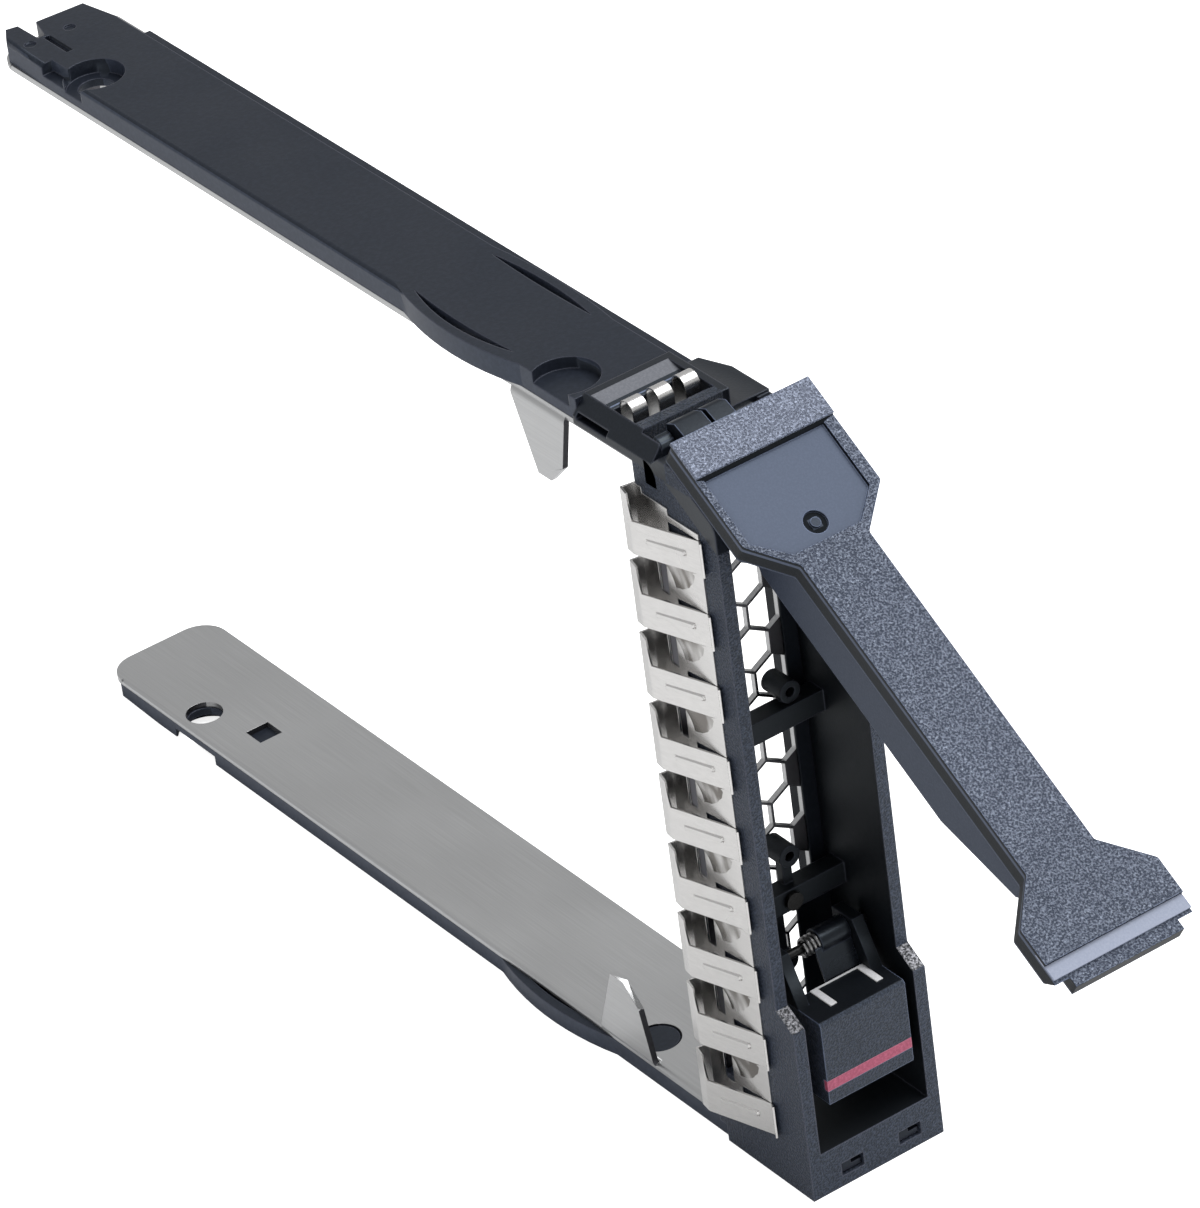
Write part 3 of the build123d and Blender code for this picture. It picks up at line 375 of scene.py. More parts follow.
@dataclass(frozen=True)
class Shade:
    """Painted reflection: where a bare sheet is darkened as if it mirrored dark things, all over or in streaks.
    """

    zone: Zone
    color: tuple[float, float, float, float]
    streaked: bool = False
    streak_mm: float = 1.3

    def mask(self, graph: Graph) -> bpy.types.NodeSocket:
        """Build the nodes that give the share of the painted dark reflection."""
        share = self.zone.mask(graph, graph.add("ShaderNodeTexCoord"))
        if self.streaked:
            share = graph.times(share, place(graph, EFFECTS.streaks, Size=self.streak_mm).outputs["Tone"])
        return share


@dataclass(frozen=True)
class SheetSteel:
    """Rolled or pressed bare steel."""

    name: str
    dark: tuple[float, float, float, float]
    light: tuple[float, float, float, float]
    roughness: tuple[float, float]
    grain_mm: float
    bump: float
    edge_mm: float = 0.08
    relief_mm: float = 0.02
    sheen_mm: float = 16.0
    shade: Shade | None = None

    @cache
    def material(self) -> bpy.types.Material:
        """Build the material, once."""
        material, graph, shader = start_material(self.name)
        grain = place(graph, EFFECTS.grain, Width=self.grain_mm)
        sheen = place(graph, EFFECTS.patches, Size=self.sheen_mm).outputs["Tone"]
        edges = place(graph, EFFECTS.edges, Radius=self.edge_mm)
        color = graph.mix(grain.outputs["Tone"], self.dark, self.light)
        # Darken the colour with a painted reflection, where the finish has one
        if self.shade:
            color = graph.mix(self.shade.mask(graph), color, self.shade.color)
        links = graph.tree.links
        links.new(color, shader.inputs["Base Color"])
        shader.inputs["Metallic"].default_value = 1.0
        links.new(graph.spread(sheen, *self.roughness), shader.inputs["Roughness"])
        bump = graph.add("ShaderNodeBump", {"Height": grain.outputs["Height"], "Strength": self.bump,
                                            "Distance": self.relief_mm * MM, "Normal": edges.outputs["Normal"]})
        links.new(bump.outputs[0], shader.inputs["Normal"])
        return material


def grey(value: float, warm: float = 0.0, blue: float = 0.0) -> tuple[float, float, float, float]:
    """A grey, a little warm or blue."""
    return (value * (1 + warm), value, value * (1 + blue - warm), 1.0)


def black(value: float) -> tuple[float, float, float, float]:
    """The slightly blue black of the mouldings."""
    return (value * 0.82, value, value * 1.5, 1.0)


# The two pins' axes, the lever's own axes at rest, and where its hinge lies along them
HINGE_Y, HINGE_Z = -100.5, 68.1
BUTTON_PIN_Y, BUTTON_PIN_Z = -97.1, 18.8
LEVER_SWING = math.radians(57.1)
LEVER_UP = Vector((0.0, math.sin(LEVER_SWING), math.cos(LEVER_SWING)))
LEVER_OUT = Vector((0.0, -math.cos(LEVER_SWING), math.sin(LEVER_SWING)))
HINGE = Vector((0.0, HINGE_Y, HINGE_Z)) * MM
HINGE_OUT = HINGE.dot(LEVER_OUT) / MM
HINGE_UP = HINGE.dot(LEVER_UP) / MM

UPWARD = (0.0, 0.0, 1.0)
WIDE = (1.0, 0.0, 0.0)
LONG = (0.0, 1.0, 0.0)
NEARWARD = (-1.0, 0.0, 0.0)
FRONTWARD = (0.0, -1.0, 0.0)
RAMP_WAY = (0.0, -0.28, 0.96)
SHOULDER_WAY = (0.0, -0.571, 0.821)
OUT = tuple(LEVER_OUT)
UP = tuple(LEVER_UP)


def over_hinge(low: float, high: float) -> Zone:
    """A range of height over the lever's hinge, square to the lever's face."""
    return Zone(OUT, HINGE_OUT + low, HINGE_OUT + high)


def along_lever(low: float, high: float) -> Zone:
    """A range along the lever, counted from its hinge towards the cams."""
    return Zone(UP, HINGE_UP + low, HINGE_UP + high)


# On the bezel: the space between its walls, darkened as painted shade; the roof; the bridge over the roof's
# slot; the ramp behind it, painted lighter as painted light, with its painted highlight line; the near wall's
# rim under the lever, smooth and darkened as painted shade; and the foot's sloping shoulders, painted near white
# as a painted highlight
INSIDE_SHADE = Patch((Zone(WIDE, -1.81, 10.54), Zone(LONG, -104.0, -80.0), Zone(UPWARD, 2.15, 70.6)),
               black(0.002), black(0.003), roughness=0.55, edge_highlight_share=0.25)
ROOF = Patch((Zone(UPWARD, 70.7, 75.0), Zone(LONG, -95.2, -80.0)),
             black(0.006), black(0.009), roughness=0.33, edge_highlight_share=0.45)
BRIDGE = Patch((Zone(UPWARD, 72.0, 75.0), Zone(LONG, -90.45, -88.35), Zone(WIDE, -1.55, 6.95)),
               black(0.012), black(0.04), roughness=0.5, bump_share=1.0)
RAMP_LIGHT = Patch((facing(RAMP_WAY, 0.99), Zone(LONG, -84.05, -82.4)),
             grey(0.12, -0.02, 0.1), grey(0.15, -0.02, 0.1), roughness=0.42)
RAMP_HIGHLIGHT_LINE = Patch((Zone(UPWARD, 72.0, 73.4), Zone(LONG, -84.62, -84.47), Zone(WIDE, -1.5, 6.9)),
                  black(0.14), black(0.16), roughness=0.4)
RIM_SHADE = Patch((over_hinge(-1.0, 1.7), Zone(UPWARD, 56.0, 70.6), Zone(WIDE, -3.2, -1.7)),
            black(0.006), black(0.009), roughness=0.3, edge_highlight_share=0.5)
SHOULDER_HIGHLIGHT = Patch((Zone(SHOULDER_WAY, 72.65, 72.85), Zone(UPWARD, 16.25, 17.75)),
                 grey(0.05), grey(0.62, 0.0, 0.08), roughness=0.5, bump_share=1.0, edge_highlight_share=0.3)

# On the button: its top, and the ears that the pin runs through, both darkened as painted shade
BUTTON_TOP_SHADE = Patch((facing(UPWARD),), black(0.003), black(0.005), roughness=0.4)
EARS_SHADE = Patch((Zone(UPWARD, 15.85, 21.0),), black(0.002), black(0.003), roughness=0.5, edge_highlight_share=0.1)

# On the lever: its sides, darkened as painted shade; the plate's edge and the cams, near black as painted shade;
# the sunk field; its dimple and the dimple's core, darkened as painted shade; the groove over the lip, painted
# lighter as a painted highlight; and the cap, painted lighter as painted light
LEVER_SIDEWAYS = Zone(OUT, -1.1, 0.7, Source.FACING)
SIDES_SHADE = Patch((LEVER_SIDEWAYS,), black(0.045), black(0.055), roughness=0.5, bump_share=0.05, edge_highlight_share=0.3)
PLATE_EDGE_SHADE = Patch((LEVER_SIDEWAYS, over_hinge(1.6, 3.65)),
                   black(0.002), black(0.003), roughness=0.5, bump_share=0.05, edge_highlight_share=0.2)
CAMS_SHADE = Patch((along_lever(7.13, 12.0),), black(0.006), black(0.009), roughness=0.32)
SUNK = Patch((over_hinge(2.9, 3.25),), black(0.085), black(0.095), roughness=0.5)
DIMPLE_SHADE = Patch((over_hinge(2.85, 3.1), Zone(WIDE, 2.8, 5.9), along_lever(-8.0, -2.0)),
               black(0.002), black(0.003), roughness=0.8, edge_highlight_share=0.5)
CORE_SHADE = Patch((over_hinge(2.85, 3.25), Zone(WIDE, 3.85, 4.9), along_lever(-5.45, -4.35)),
             black(0.03), black(0.04), roughness=0.5)
GROOVE_HIGHLIGHT = Patch((over_hinge(3.1, 3.25), along_lever(-51.0, -48.0)),
               (0.3, 0.33, 0.42, 1.0), (0.33, 0.36, 0.45, 1.0), roughness=0.45)
CAP_LIGHT = Patch((over_hinge(3.7, 4.1),),
            (0.16, 0.18, 0.24, 1.0), (0.5, 0.56, 0.72, 1.0), roughness=0.5, bump_share=1.0)

# On the rails: the side towards the camera, painted lighter as a painted highlight
RAIL_SIDE_HIGHLIGHT = Patch((facing(NEARWARD, 0.8),), black(0.04), black(0.05), roughness=0.4)

BEZEL_BLACK = Moulding("bezel_moulding", black(0.022), black(0.065), grey(0.1, -0.05, 0.3),
                       roughness=(0.42, 0.52), grain_mm=0.22, bump=0.8, specular=0.36, edge_mm=0.25,
                       patches=(INSIDE_SHADE, ROOF, BRIDGE, RAMP_LIGHT, RAMP_HIGHLIGHT_LINE, RIM_SHADE, SHOULDER_HIGHLIGHT))
BUTTON_BLACK = Moulding("button_moulding", black(0.02), black(0.055), black(0.2),
                        roughness=(0.42, 0.52), grain_mm=0.22, bump=0.8, specular=0.4,
                        patches=(BUTTON_TOP_SHADE, EARS_SHADE))
SMOOTH_BLACK = Moulding("smooth_moulding", black(0.004), black(0.007), black(0.05),
                        roughness=(0.26, 0.34), grain_mm=0.4, bump=0.05, specular=0.4)
# A near-black, dull moulding that paints the shade on pieces deep inside the frame
SHADE_BLACK = Moulding("painted_shade_moulding", black(0.006), black(0.008), black(0.01),
                      roughness=(0.4, 0.5), grain_mm=0.4, bump=0.05, specular=0.15)
RAIL_BLACK = Moulding("rail_moulding", black(0.014), black(0.018), grey(0.07, -0.05, 0.3),
                      roughness=(0.34, 0.46), grain_mm=0.5, bump=0.05, specular=0.25, patches=(RAIL_SIDE_HIGHLIGHT,))
LEVER_GREY = Moulding("lever_moulding", (0.07, 0.083, 0.12, 1.0), (0.33, 0.375, 0.48, 1.0), black(0.24),
                      roughness=(0.45, 0.55), grain_mm=0.2, bump=1.0, specular=0.25, relief_mm=0.3,
                      patches=(SIDES_SHADE, PLATE_EDGE_SHADE, CAMS_SHADE, SUNK, DIMPLE_SHADE, CORE_SHADE, GROOVE_HIGHLIGHT, CAP_LIGHT))
PALE_CATCH = Moulding("latch_steel", grey(0.72, 0.0, 0.03), grey(0.82, 0.0, 0.03), grey(0.8),
                      roughness=(0.4, 0.5), grain_mm=0.3, bump=0.1)
STRIPE_RED = Moulding("red_insert", (0.34, 0.06, 0.11, 1.0), (0.46, 0.1, 0.17, 1.0), (0.55, 0.18, 0.26, 1.0),
                      roughness=(0.45, 0.55), grain_mm=0.3, bump=0.3)
# Its faces that look to the front, such as the honeycomb's, are darkened with a painted dark reflection
SHEET = SheetSteel("carrier_sheet", grey(0.46, -0.01), grey(0.53, -0.01), roughness=(0.32, 0.42),
                   grain_mm=0.12, bump=0.2, shade=Shade(facing(FRONTWARD, 0.8), grey(0.1, 0.0, 0.1)))
# Its downward-facing faces get streaks of painted dark reflection
SPRING_STEEL = SheetSteel("contact_strip_steel", grey(0.62, 0.012), grey(0.69, 0.012),
                          roughness=(0.2, 0.28), grain_mm=0.2, bump=0.06,
                          shade=Shade(Zone(UPWARD, -1.1, -0.1, Source.FACING), grey(0.17, 0.08), True))
WIRE = SheetSteel("spring_wire", grey(0.25), grey(0.32), roughness=(0.22, 0.3), grain_mm=0.1, bump=0.05)
DARK_STEEL = SheetSteel("blackened_steel", grey(0.02), grey(0.04), roughness=(0.35, 0.45),
                        grain_mm=0.1, bump=0.1)


def dress(piece: bpy.types.Object, material: bpy.types.Material) -> None:
    """Give a piece one material."""
    piece.data.materials.clear()
    piece.data.materials.append(material)


def finished(name: str, mesh: bmesh.types.BMesh, body: Body,
             material: bpy.types.Material) -> bpy.types.Object:
    """Turn a bmesh into a smooth-shaded piece that rides on a body.

    Args:
        name: the piece's name.
        mesh: the shape, in metres and in place.
        body: the body that carries it.
        material: its finish.

    Returns:
        The new object.
    """
    data = bpy.data.meshes.new(name)
    mesh.to_mesh(data)
    mesh.free()
    piece = bpy.data.objects.new(name, data)
    bpy.context.scene.collection.objects.link(piece)
    for face in data.polygons:
        face.use_smooth = True
    data.set_sharp_from_angle(angle=math.radians(SHARP_DEG))
    dress(piece, material)
    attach(piece, body.value)
    normals = piece.modifiers.new("weighted", "WEIGHTED_NORMAL")
    normals.keep_sharp = True
    LOG.info("%s: %d faces", name, len(data.polygons))
    return piece


def joined_copy(node: str) -> bmesh.types.BMesh:
    """Copy a CAD node's mesh and join its loose triangles.

    Args:
        node: the node's name.

    Returns:
        The copy, in metres and in place.
    """
    mesh = bmesh.new()
    mesh.from_mesh(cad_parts[node].data)
    bmesh.ops.remove_doubles(mesh, verts=mesh.verts, dist=JOIN_MM * MM)
    return mesh


def smooth_node(name: str, node: str, body: Body, material: bpy.types.Material) -> bpy.types.Object:
    """Make a smooth-shaded copy of a CAD node, which stands for it.

    Args:
        name: the copy's name.
        node: the node that it replaces.
        body: the body that carries both.
        material: its finish.

    Returns:
        The new object.
    """
    mesh = joined_copy(node)
    bmesh.ops.dissolve_limit(mesh, angle_limit=math.radians(FLAT_DEG), verts=mesh.verts, edges=mesh.edges,
                             delimit=set())
    piece = finished(name, mesh, body, material)
    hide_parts(node)
    return piece


def box(mesh: bmesh.types.BMesh, low: tuple[float, float, float], high: tuple[float, float, float]) -> None:
    """Add a box to a mesh.

    Args:
        mesh: the mesh that it joins.
        low: its lowest corner, in millimetres.
        high: its highest corner, in millimetres.
    """
    low, high = Vector(low) * MM, Vector(high) * MM
    size = Matrix.Diagonal((*(high - low), 1.0))
    bmesh.ops.create_cube(mesh, size=1.0, matrix=Matrix.Translation((low + high) / 2) @ size)


def only(kind: type, items: list) -> list:
    """Pick the items of one kind, such as the vertices, from what an operator made."""
    return [item for item in items if isinstance(item, kind)]


@dataclass(frozen=True)
class Coil:
    """A torsion spring of round wire round an axis along X."""

    near_x: float
    turns: float
    pitch: float
    radius: float
    center_y: float
    center_z: float
    wire_r: float = 0.2
    start_deg: float = 0.0
    sides: int = 10
    steps: int = 20

    def mesh(self) -> bmesh.types.BMesh:
        """Wind the wire, in metres and in place."""
        mesh = bmesh.new()
        center = Vector((self.near_x, self.center_y, self.center_z)) * MM
        start = Matrix.Rotation(math.radians(self.start_deg), 4, "X")
        ring = Matrix.Translation(center) @ start @ Matrix.Translation((0, 0, self.radius * MM))
        ring = ring @ Matrix.Rotation(math.radians(90), 4, "X")
        made = bmesh.ops.create_circle(mesh, segments=self.sides, radius=self.wire_r * MM, matrix=ring)
        wire = mesh.edges[:] + made["verts"]
        count = int(self.turns * self.steps)
        bmesh.ops.spin(mesh, geom=wire, cent=center, axis=WIDE, angle=math.tau * self.turns, steps=count,
                       dvec=(self.pitch * MM / self.steps, 0, 0), use_merge=False)
        bmesh.ops.holes_fill(mesh, edges=mesh.edges, sides=self.sides)
        bmesh.ops.recalc_face_normals(mesh, faces=mesh.faces)
        return mesh


@dataclass
class Rails:
    """The two black rails."""

    nodes: tuple[str, ...] = ("upper_rail", "lower_rail")

    def build(self) -> None:
        """Dress both rails."""
        for node in self.nodes:
            smooth_node(node + "_shell", node, Body.CARRIER, RAIL_BLACK.material())


@dataclass
class Carrier:
    """The folded steel sheet and its small screw."""

    comb_front: float = -91.9
    comb_back: float = -91.3
    cell_max: float = 4.4
    cell_growth: float = 1.04
    tolerance: float = 0.01

    def sheet(self) -> bmesh.types.BMesh:
        """A copy of the sheet whose honeycomb has the photograph's thinner webs."""
        mesh = joined_copy("steel_carrier")
        planes = (self.comb_front * MM, self.comb_back * MM)
        left = {face for face in mesh.faces if abs(face.normal.y) < self.tolerance
                and all(min(abs(v.co.y - y) for y in planes) < self.tolerance * MM for v in face.verts)}
        while left:
            cell, fresh = set(), {left.pop()}
            while fresh:
                face = fresh.pop()
                cell.add(face)
                near = {f for edge in face.edges for f in edge.link_faces if f in left}
                left -= near
                fresh |= near
            self.grow(mesh, list({v for face in cell for v in face.verts}))
        return mesh

    def grow(self, mesh: bmesh.types.BMesh, verts: list) -> None:
        """Grow one opening about its middle, where it is as small as a cell of the honeycomb.

        Args:
            mesh: the sheet.
            verts: the opening's vertices.
        """
        low, high = ([pick(v.co[axis] for v in verts) for axis in (0, 2)] for pick in (min, max))
        if max(high[0] - low[0], high[1] - low[1]) < self.cell_max * MM:
            middle = Vector(((low[0] + high[0]) / 2, 0.0, (low[1] + high[1]) / 2))
            bmesh.ops.scale(mesh, vec=(self.cell_growth, 1.0, self.cell_growth),
                            space=Matrix.Translation(-middle), verts=verts)

    def build(self) -> None:
        """Dress the sheet and the screw."""
        sheet = finished("carrier_shell", self.sheet(), Body.CARRIER, SHEET.material())
        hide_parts("steel_carrier")
        dress(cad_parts["carrier_screw"], DARK_STEEL.material())


@dataclass
class Bezel:
    """The black moulded frame at the front."""

    near_x: float = -3.07
    far_x: float = 11.8
    inner_far_x: float = 10.5
    wall_rear_y: float = -90.4
    roof_low_z: float = 70.7
    cheek_thickness: float = 0.3
    cheek_rear_y: float = -86.2
    cheek_low_z: float = 1.0
    liner_near_x: float = 8.95
    liner_y: tuple[float, float] = (-92.2, -91.95)
    liner_z: tuple[float, float] = (2.3, 70.2)
    screen_near_x: float = 6.8
    screen_top: float = 21.5
    nose_y: float = -92.0
    nose_reach: float = 1.6
    nose_low_z: float = 69.2
    nose_corner_z: float = 71.6
    nose_top_z: float = 73.25
    nose_top_x: float = -1.57
    nose_far_x: float = -0.2
    nose_blunt: float = 0.35
    nose_steps: int = 6

    def cheek(self) -> bmesh.types.BMesh:
        """The thin wall behind the far side, and screens of painted shade over the sheet's far edge and behind
        the button.
        """
        mesh = bmesh.new()
        (front, back), (low, high) = self.liner_y, self.liner_z
        box(mesh, (self.far_x - self.cheek_thickness, self.wall_rear_y, self.cheek_low_z),
            (self.far_x, self.cheek_rear_y, self.roof_low_z))
        box(mesh, (self.liner_near_x, front, low), (self.inner_far_x, back, high))
        box(mesh, (self.screen_near_x, front, low), (self.liner_near_x, back, self.screen_top))
        return mesh

    def nose_height(self, turn: float) -> float:
        """The nose's height at a turn of its rounding, as a share of its full height."""
        return self.nose_blunt + (1.0 - self.nose_blunt) * math.cos(turn)

    def nose(self) -> bmesh.types.BMesh:
        """The near arm's end, which rounds down onto the wall."""
        mesh = bmesh.new()
        outline = ((self.near_x, self.nose_low_z), (self.near_x, self.nose_corner_z),
                   (self.nose_top_x, self.nose_top_z), (self.nose_far_x, self.nose_top_z),
                   (self.nose_far_x, self.nose_low_z))
        face = mesh.faces.new([mesh.verts.new(Vector((x, self.nose_y, z)) * MM) for x, z in outline])
        foot = Matrix.Translation((0, 0, -self.nose_low_z * MM))
        for step in range(self.nose_steps):
            turn, after = (math.pi / 2 * (step + k) / self.nose_steps for k in (0, 1))
            made = bmesh.ops.extrude_face_region(mesh, geom=[face])["geom"]
            face = only(bmesh.types.BMFace, made)[0]
            bmesh.ops.translate(mesh, verts=face.verts,
                                vec=(0, -(math.sin(after) - math.sin(turn)) * self.nose_reach * MM, 0))
            bmesh.ops.scale(mesh, vec=(1, 1, self.nose_height(after) / self.nose_height(turn)), space=foot,
                            verts=face.verts)
        bmesh.ops.recalc_face_normals(mesh, faces=mesh.faces)
        return mesh

    def build(self) -> None:
        """Dress the frame and add its small forms."""
        smooth_node("bezel_shell", "bezel_frame", Body.CARRIER, BEZEL_BLACK.material())
        # The cheek and the screens, in the near-black moulding of painted shade
        finished("bezel_cheek", self.cheek(), Body.CARRIER, SHADE_BLACK.material())
        finished("bezel_arm_nose", self.nose(), Body.CARRIER, SMOOTH_BLACK.material())


@dataclass
class Lever:
    """The ejector lever, its pin and its spring."""

    spring: Coil = Coil(near_x=6.05, turns=4.0, pitch=0.46, radius=1.05, center_y=HINGE_Y, center_z=HINGE_Z)

    def build(self) -> None:
        """Dress the lever and wind its spring."""
        smooth_node("lever_shell", "lever", Body.LEVER, LEVER_GREY.material())
        dress(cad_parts["lever_hinge_pin"], DARK_STEEL.material())
        coil = finished("lever_coil", self.spring.mesh(), Body.CARRIER, WIRE.material())
        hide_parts("lever_spring")


@dataclass
class Button:
    """The release button with its stripe, catch, pin, barrel and spring."""

    spring: Coil = Coil(near_x=3.5, turns=4.0, pitch=0.47, radius=0.78, center_y=BUTTON_PIN_Y,
                        center_z=BUTTON_PIN_Z, start_deg=30.0)
    barrel_near_x: float = 5.0
    barrel_far_x: float = 8.2
    barrel_r: float = 1.25
    barrel_wall: float = 0.7
    barrel_sides: int = 32
    web_near_x: float = 4.3
    web_thickness: float = 0.7
    web_foot_y: float = -99.45
    web_foot_z: float = 15.2
    web_head_y: float = -98.05
    web_sag: float = 0.5
    web_sag_forward: float = 0.15
    web_steps: int = 10

    def add_tube(self, mesh: bmesh.types.BMesh) -> None:
        """Add the barrel's tube round the pin to an empty mesh."""
        center = Vector((self.barrel_near_x, BUTTON_PIN_Y, BUTTON_PIN_Z)) * MM
        ring = Matrix.Translation(center) @ Matrix.Rotation(math.radians(90), 4, "Y")
        bmesh.ops.create_circle(mesh, segments=self.barrel_sides, radius=self.barrel_r * MM, matrix=ring)
        made = bmesh.ops.extrude_edge_only(mesh, edges=mesh.edges[:])["geom"]
        bmesh.ops.translate(mesh, verts=only(bmesh.types.BMVert, made),
                            vec=((self.barrel_far_x - self.barrel_near_x) * MM, 0, 0))
        bmesh.ops.recalc_face_normals(mesh, faces=mesh.faces)
        bmesh.ops.solidify(mesh, geom=mesh.faces[:], thickness=self.barrel_wall * MM)

    def add_web(self, mesh: bmesh.types.BMesh) -> None:
        """Add the sagging web that carries the barrel."""
        web = bmesh.ops.create_grid(mesh, x_segments=1, y_segments=self.web_steps, size=0.5)["verts"]
        foot = Vector((self.web_near_x, self.web_foot_y, self.web_foot_z))
        span = Vector((self.barrel_far_x, self.web_head_y, BUTTON_PIN_Z)) - foot
        for vert in web:
            across, along = vert.co.x + 0.5, vert.co.y + 0.5
            bow = math.sin(along * math.pi)
            sag = Vector((0.0, -self.web_sag_forward * bow, -self.web_sag * bow))
            vert.co = (foot + Vector((span.x * across, span.y * along, span.z * along)) + sag) * MM
        faces = list({face for vert in web for face in vert.link_faces})
        bmesh.ops.solidify(mesh, geom=faces, thickness=self.web_thickness * MM)

    def barrel(self) -> bmesh.types.BMesh:
        """The barrel round the pin, with the curved web that carries it."""
        mesh = bmesh.new()
        self.add_tube(mesh)
        self.add_web(mesh)
        bmesh.ops.recalc_face_normals(mesh, faces=mesh.faces)
        return mesh

    def build(self) -> None:
        """Dress the button's pieces."""
        smooth_node("button_shell", "release_button", Body.BUTTON, BUTTON_BLACK.material())
        finished("button_barrel", self.barrel(), Body.BUTTON, SMOOTH_BLACK.material())
        dress(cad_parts["button_stripe"], STRIPE_RED.material())
        dress(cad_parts["latch_frame"], PALE_CATCH.material())
        dress(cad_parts["button_pivot_pin"], DARK_STEEL.material())
        coil = finished("button_coil", self.spring.mesh(), Body.CARRIER, WIRE.material())
        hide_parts("button_spring")


@dataclass
class ContactStrips:
    """The pressed contact fingers at the side and in the roof."""

    curl_near_x: float = -0.75
    curl_width: float = 1.6
    curl_pitch: float = 2.82
    curl_count: int = 3
    curl_y: float = -86.75
    curl_z: float = 73.15
    curl_r: float = 1.05
    curl_steps: int = 24
    foot_z: float = 70.95
    thickness: float = 0.16
    finger_count: int = 9
    finger_pitch: float = 7.54
    finger_way: tuple[float, float, float] = (-1.55, 7.9, -0.7)
    finger_out: tuple[float, float, float] = (-7.9, -1.55, 0.0)
    ridge_first: tuple[float, float, float] = (-4.045, -95.45, 64.55)
    ridge_length: float = 4.8
    ridge_width: float = 0.75
    ridge_rise: float = 0.2
    ridge_taper: tuple[float, float] = (0.95, 0.55)
    ridge_sides: int = 24

    def curls(self) -> bmesh.types.BMesh:
        """Three arched fingers with straight legs that stand in the roof's slot."""
        mesh = bmesh.new()
        rise = (self.curl_z - self.foot_z) * MM
        center = Vector((0, self.curl_y, self.curl_z)) * MM
        for index in range(self.curl_count):
            near = self.curl_near_x + index * self.curl_pitch
            ends = [mesh.verts.new(Vector((x, self.curl_y - self.curl_r, self.foot_z)) * MM)
                    for x in (near, near + self.curl_width)]
            leg = bmesh.ops.extrude_edge_only(mesh, edges=[mesh.edges.new(ends)])["geom"]
            tips = only(bmesh.types.BMVert, leg)
            bmesh.ops.translate(mesh, verts=tips, vec=(0, 0, rise))
            top = [edge for edge in only(bmesh.types.BMEdge, leg) if all(v in tips for v in edge.verts)]
            arc = bmesh.ops.spin(mesh, geom=top + tips, cent=center, axis=NEARWARD, angle=math.pi,
                                 steps=self.curl_steps)["geom_last"]
            down = bmesh.ops.extrude_edge_only(mesh, edges=only(bmesh.types.BMEdge, arc))["geom"]
            bmesh.ops.translate(mesh, verts=only(bmesh.types.BMVert, down), vec=(0, 0, -rise))
        bmesh.ops.remove_doubles(mesh, verts=mesh.verts, dist=2 * JOIN_MM * MM)
        bmesh.ops.recalc_face_normals(mesh, faces=mesh.faces)
        bmesh.ops.solidify(mesh, geom=mesh.faces[:], thickness=self.thickness * MM)
        bmesh.ops.recalc_face_normals(mesh, faces=mesh.faces)
        return mesh

    def ridges(self) -> bmesh.types.BMesh:
        """The pressed ridge on each contact finger, with rounded ends and sloping sides."""
        mesh = bmesh.new()
        way, out = Vector(self.finger_way).normalized(), Vector(self.finger_out).normalized()
        turn = Matrix((way, out.cross(way), out)).transposed().to_4x4()
        straight = (self.ridge_length - self.ridge_width) / 2 * MM
        for index in range(self.finger_count):
            spot = (Vector(self.ridge_first) - Vector((0.0, 0.0, index * self.finger_pitch))) * MM
            verts = bmesh.ops.create_circle(mesh, cap_ends=True, segments=self.ridge_sides,
                                            radius=self.ridge_width / 2 * MM)["verts"]
            for vert in verts:
                vert.co.x += math.copysign(straight, vert.co.x)
            made = bmesh.ops.extrude_face_region(mesh, geom=[verts[0].link_faces[0]])["geom"]
            top = only(bmesh.types.BMVert, made)
            bmesh.ops.translate(mesh, verts=top, vec=(0, 0, self.ridge_rise * MM))
            bmesh.ops.scale(mesh, vec=(*self.ridge_taper, 1), verts=top)
            bmesh.ops.transform(mesh, matrix=Matrix.Translation(spot) @ turn, verts=verts + top)
        bmesh.ops.recalc_face_normals(mesh, faces=mesh.faces)
        return mesh

    def build(self) -> None:
        """Dress the side strip and make the curled one."""
        steel = SPRING_STEEL.material()
        finished("finger_ridges", self.ridges(), Body.CARRIER, steel)
        dress(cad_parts["side_contact_strip"], steel)
        curls = finished("roof_curls", self.curls(), Body.CARRIER, steel)
        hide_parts("top_contact_strip")


@dataclass(frozen=True)
class Lamp:
    """A soft square lamp, placed from the object's middle, in metres and watts."""

    name: str
    offset: tuple[float, float, float]
    size: float
    power: float


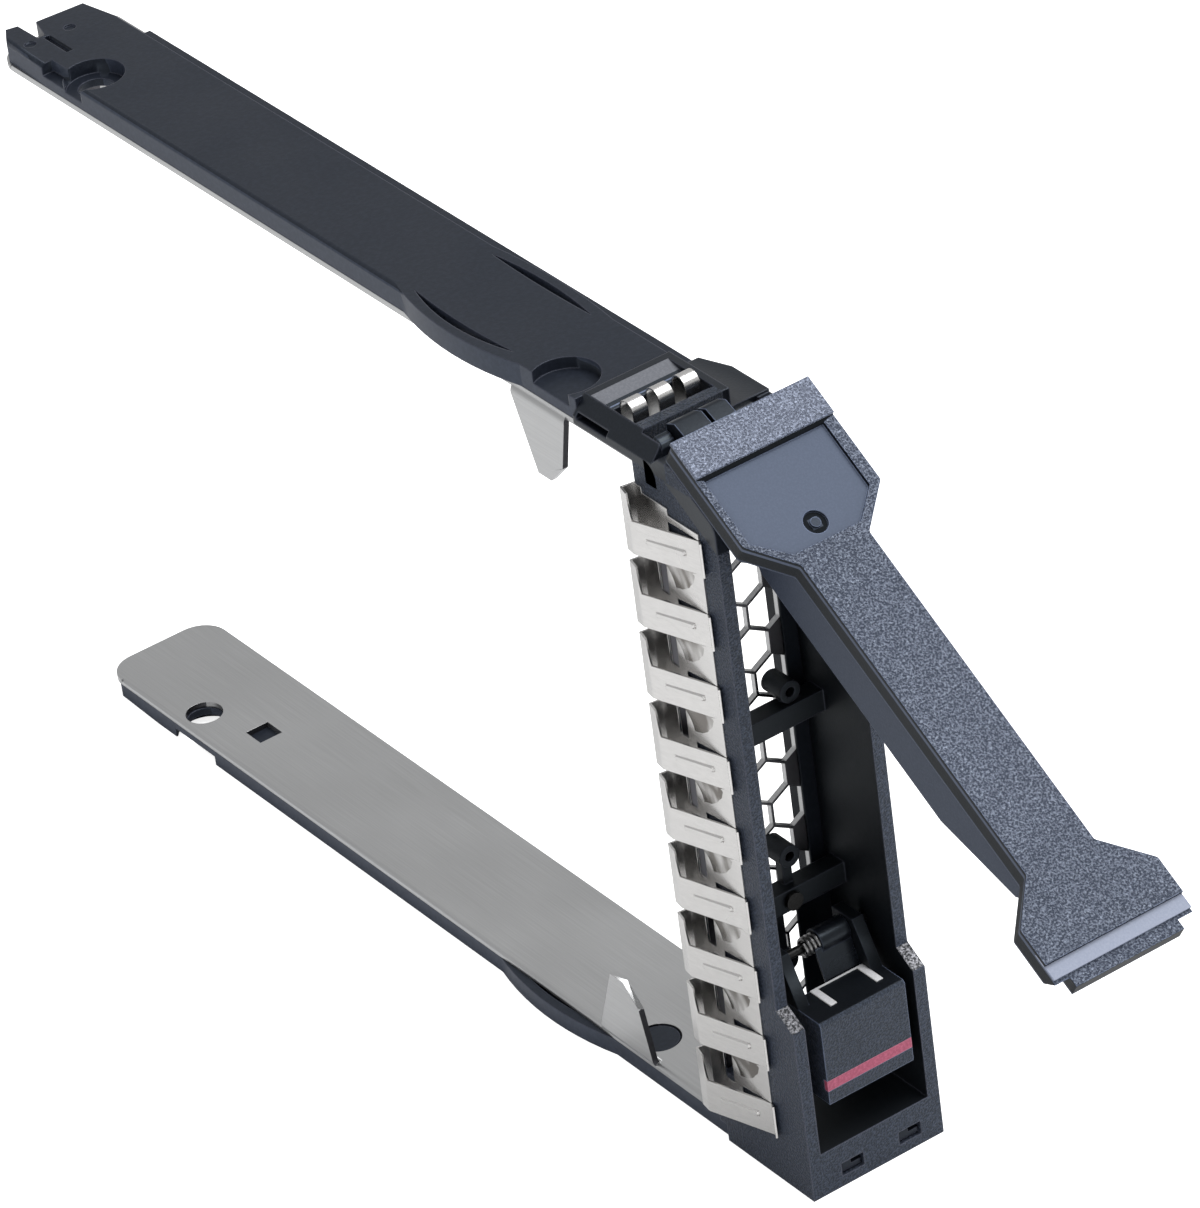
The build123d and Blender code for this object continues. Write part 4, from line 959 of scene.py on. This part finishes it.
@dataclass
class Studio:
    """The camera, the lamps, the floor and the world."""

    azimuth: float = -31.755
    elevation: float = 32.685
    roll: float = -7.898
    focal_px: float = 7974.4
    photo_long_px: float = 1208.0
    sensor_mm: float = 36.0
    eye: tuple[float, float, float] = (-0.31525, -0.58619, 0.43257)
    clip: tuple[float, float] = (0.01, 20.0)
    lamps: tuple[Lamp, ...] = (Lamp("key", (0.25, -0.15, 0.6), 0.5, 4.2),
                               Lamp("fill", (-0.5, -0.5, 0.25), 0.4, 0.7))
    floor_half: float = 3.0
    floor_gap: float = 0.02
    floor_grey: float = 0.9
    floor_glow: float = 0.8
    surround: float = 0.58

    def directions(self) -> tuple[Vector, Vector, Vector]:
        """The camera's right, up and back."""
        turn, lift, roll = (math.radians(v) for v in (self.azimuth, self.elevation, self.roll))
        back = Vector((math.sin(turn) * math.cos(lift), -math.cos(turn) * math.cos(lift), math.sin(lift)))
        level = Vector((math.cos(turn), math.sin(turn), 0.0))
        upright = back.cross(level)
        right = level * math.cos(roll) + upright * math.sin(roll)
        return right, back.cross(right), back

    def add_camera(self) -> None:
        """Put the camera where the photograph was taken from."""
        data = bpy.data.cameras.new("camera")
        data.sensor_width = self.sensor_mm
        data.lens = self.sensor_mm * self.focal_px / self.photo_long_px
        data.clip_start, data.clip_end = self.clip
        camera = bpy.data.objects.new("camera", data)
        bpy.context.scene.collection.objects.link(camera)
        turn = Matrix(self.directions()).transposed()
        camera.matrix_world = Matrix.Translation(Vector(self.eye)) @ turn.to_4x4()
        bpy.context.scene.camera = camera

    def add_lamp(self, lamp: Lamp) -> None:
        """Add one lamp that points at the object's middle."""
        middle = (CAD_BOX[0] + CAD_BOX[1]) / 2
        where = middle + Vector(lamp.offset)
        data = bpy.data.lights.new(lamp.name, "AREA")
        data.size = lamp.size
        data.energy = lamp.power
        made = bpy.data.objects.new(lamp.name, data)
        bpy.context.scene.collection.objects.link(made)
        turn = (middle - where).to_track_quat("-Z", "Y").to_matrix().to_4x4()
        made.matrix_world = Matrix.Translation(where) @ turn

    def add_floor(self) -> None:
        """A pale floor under the object, which the camera sees as white."""
        mesh = bmesh.new()
        bmesh.ops.create_grid(mesh, x_segments=1, y_segments=1, size=self.floor_half)
        bmesh.ops.translate(mesh, verts=mesh.verts, vec=(0.0, 0.0, CAD_BOX[0].z - self.floor_gap * MM))
        data = bpy.data.meshes.new("floor")
        mesh.to_mesh(data)
        mesh.free()
        floor = bpy.data.objects.new("floor", data)
        bpy.context.scene.collection.objects.link(floor)
        material, graph, shader = start_material("floor_paper")
        shader.inputs["Base Color"].default_value = grey(self.floor_grey)
        shader.inputs["Roughness"].default_value = 0.9
        shader.inputs["Emission Color"].default_value = grey(1.0)
        seen = graph.add("ShaderNodeLightPath")
        lift = graph.add("ShaderNodeMath", {0: seen.outputs["Is Camera Ray"], 1: self.floor_glow},
                         operation="MULTIPLY")
        graph.tree.links.new(lift.outputs[0], shader.inputs["Emission Strength"])
        dress(floor, material)

    def add_world(self) -> None:
        """A plain surround, white to the camera and darker as a light."""
        world = bpy.data.worlds.new("surround")
        world.use_nodes = True
        bpy.context.scene.world = world
        graph = Graph(world.node_tree)
        shade = world.node_tree.nodes["Background"]
        seen = graph.add("ShaderNodeLightPath")
        direct = graph.add("ShaderNodeMath", {0: seen.outputs["Is Camera Ray"],
                                              1: seen.outputs["Is Transmission Ray"]}, operation="MAXIMUM")
        level = graph.add("ShaderNodeMapRange", {"Value": direct.outputs[0], "To Min": self.surround,
                                                 "To Max": 1.0})
        shade.inputs["Color"].default_value = grey(1.0)
        graph.tree.links.new(level.outputs["Result"], shade.inputs["Strength"])

    def build(self) -> None:
        """Set up the whole studio."""
        bpy.context.scene.view_settings.view_transform = "Standard"
        self.add_camera()
        for lamp in self.lamps:
            self.add_lamp(lamp)
        self.add_floor()
        self.add_world()


def main() -> None:
    """Build every sub-assembly in order and report it."""
    logging.basicConfig(level=logging.INFO)
    for part in (Studio(), Carrier(), Rails(), Bezel(), Lever(), Button(), ContactStrips()):
        part.build()
        LOG.info("built %s", type(part).__name__)


if __name__ == "__main__":
    main()
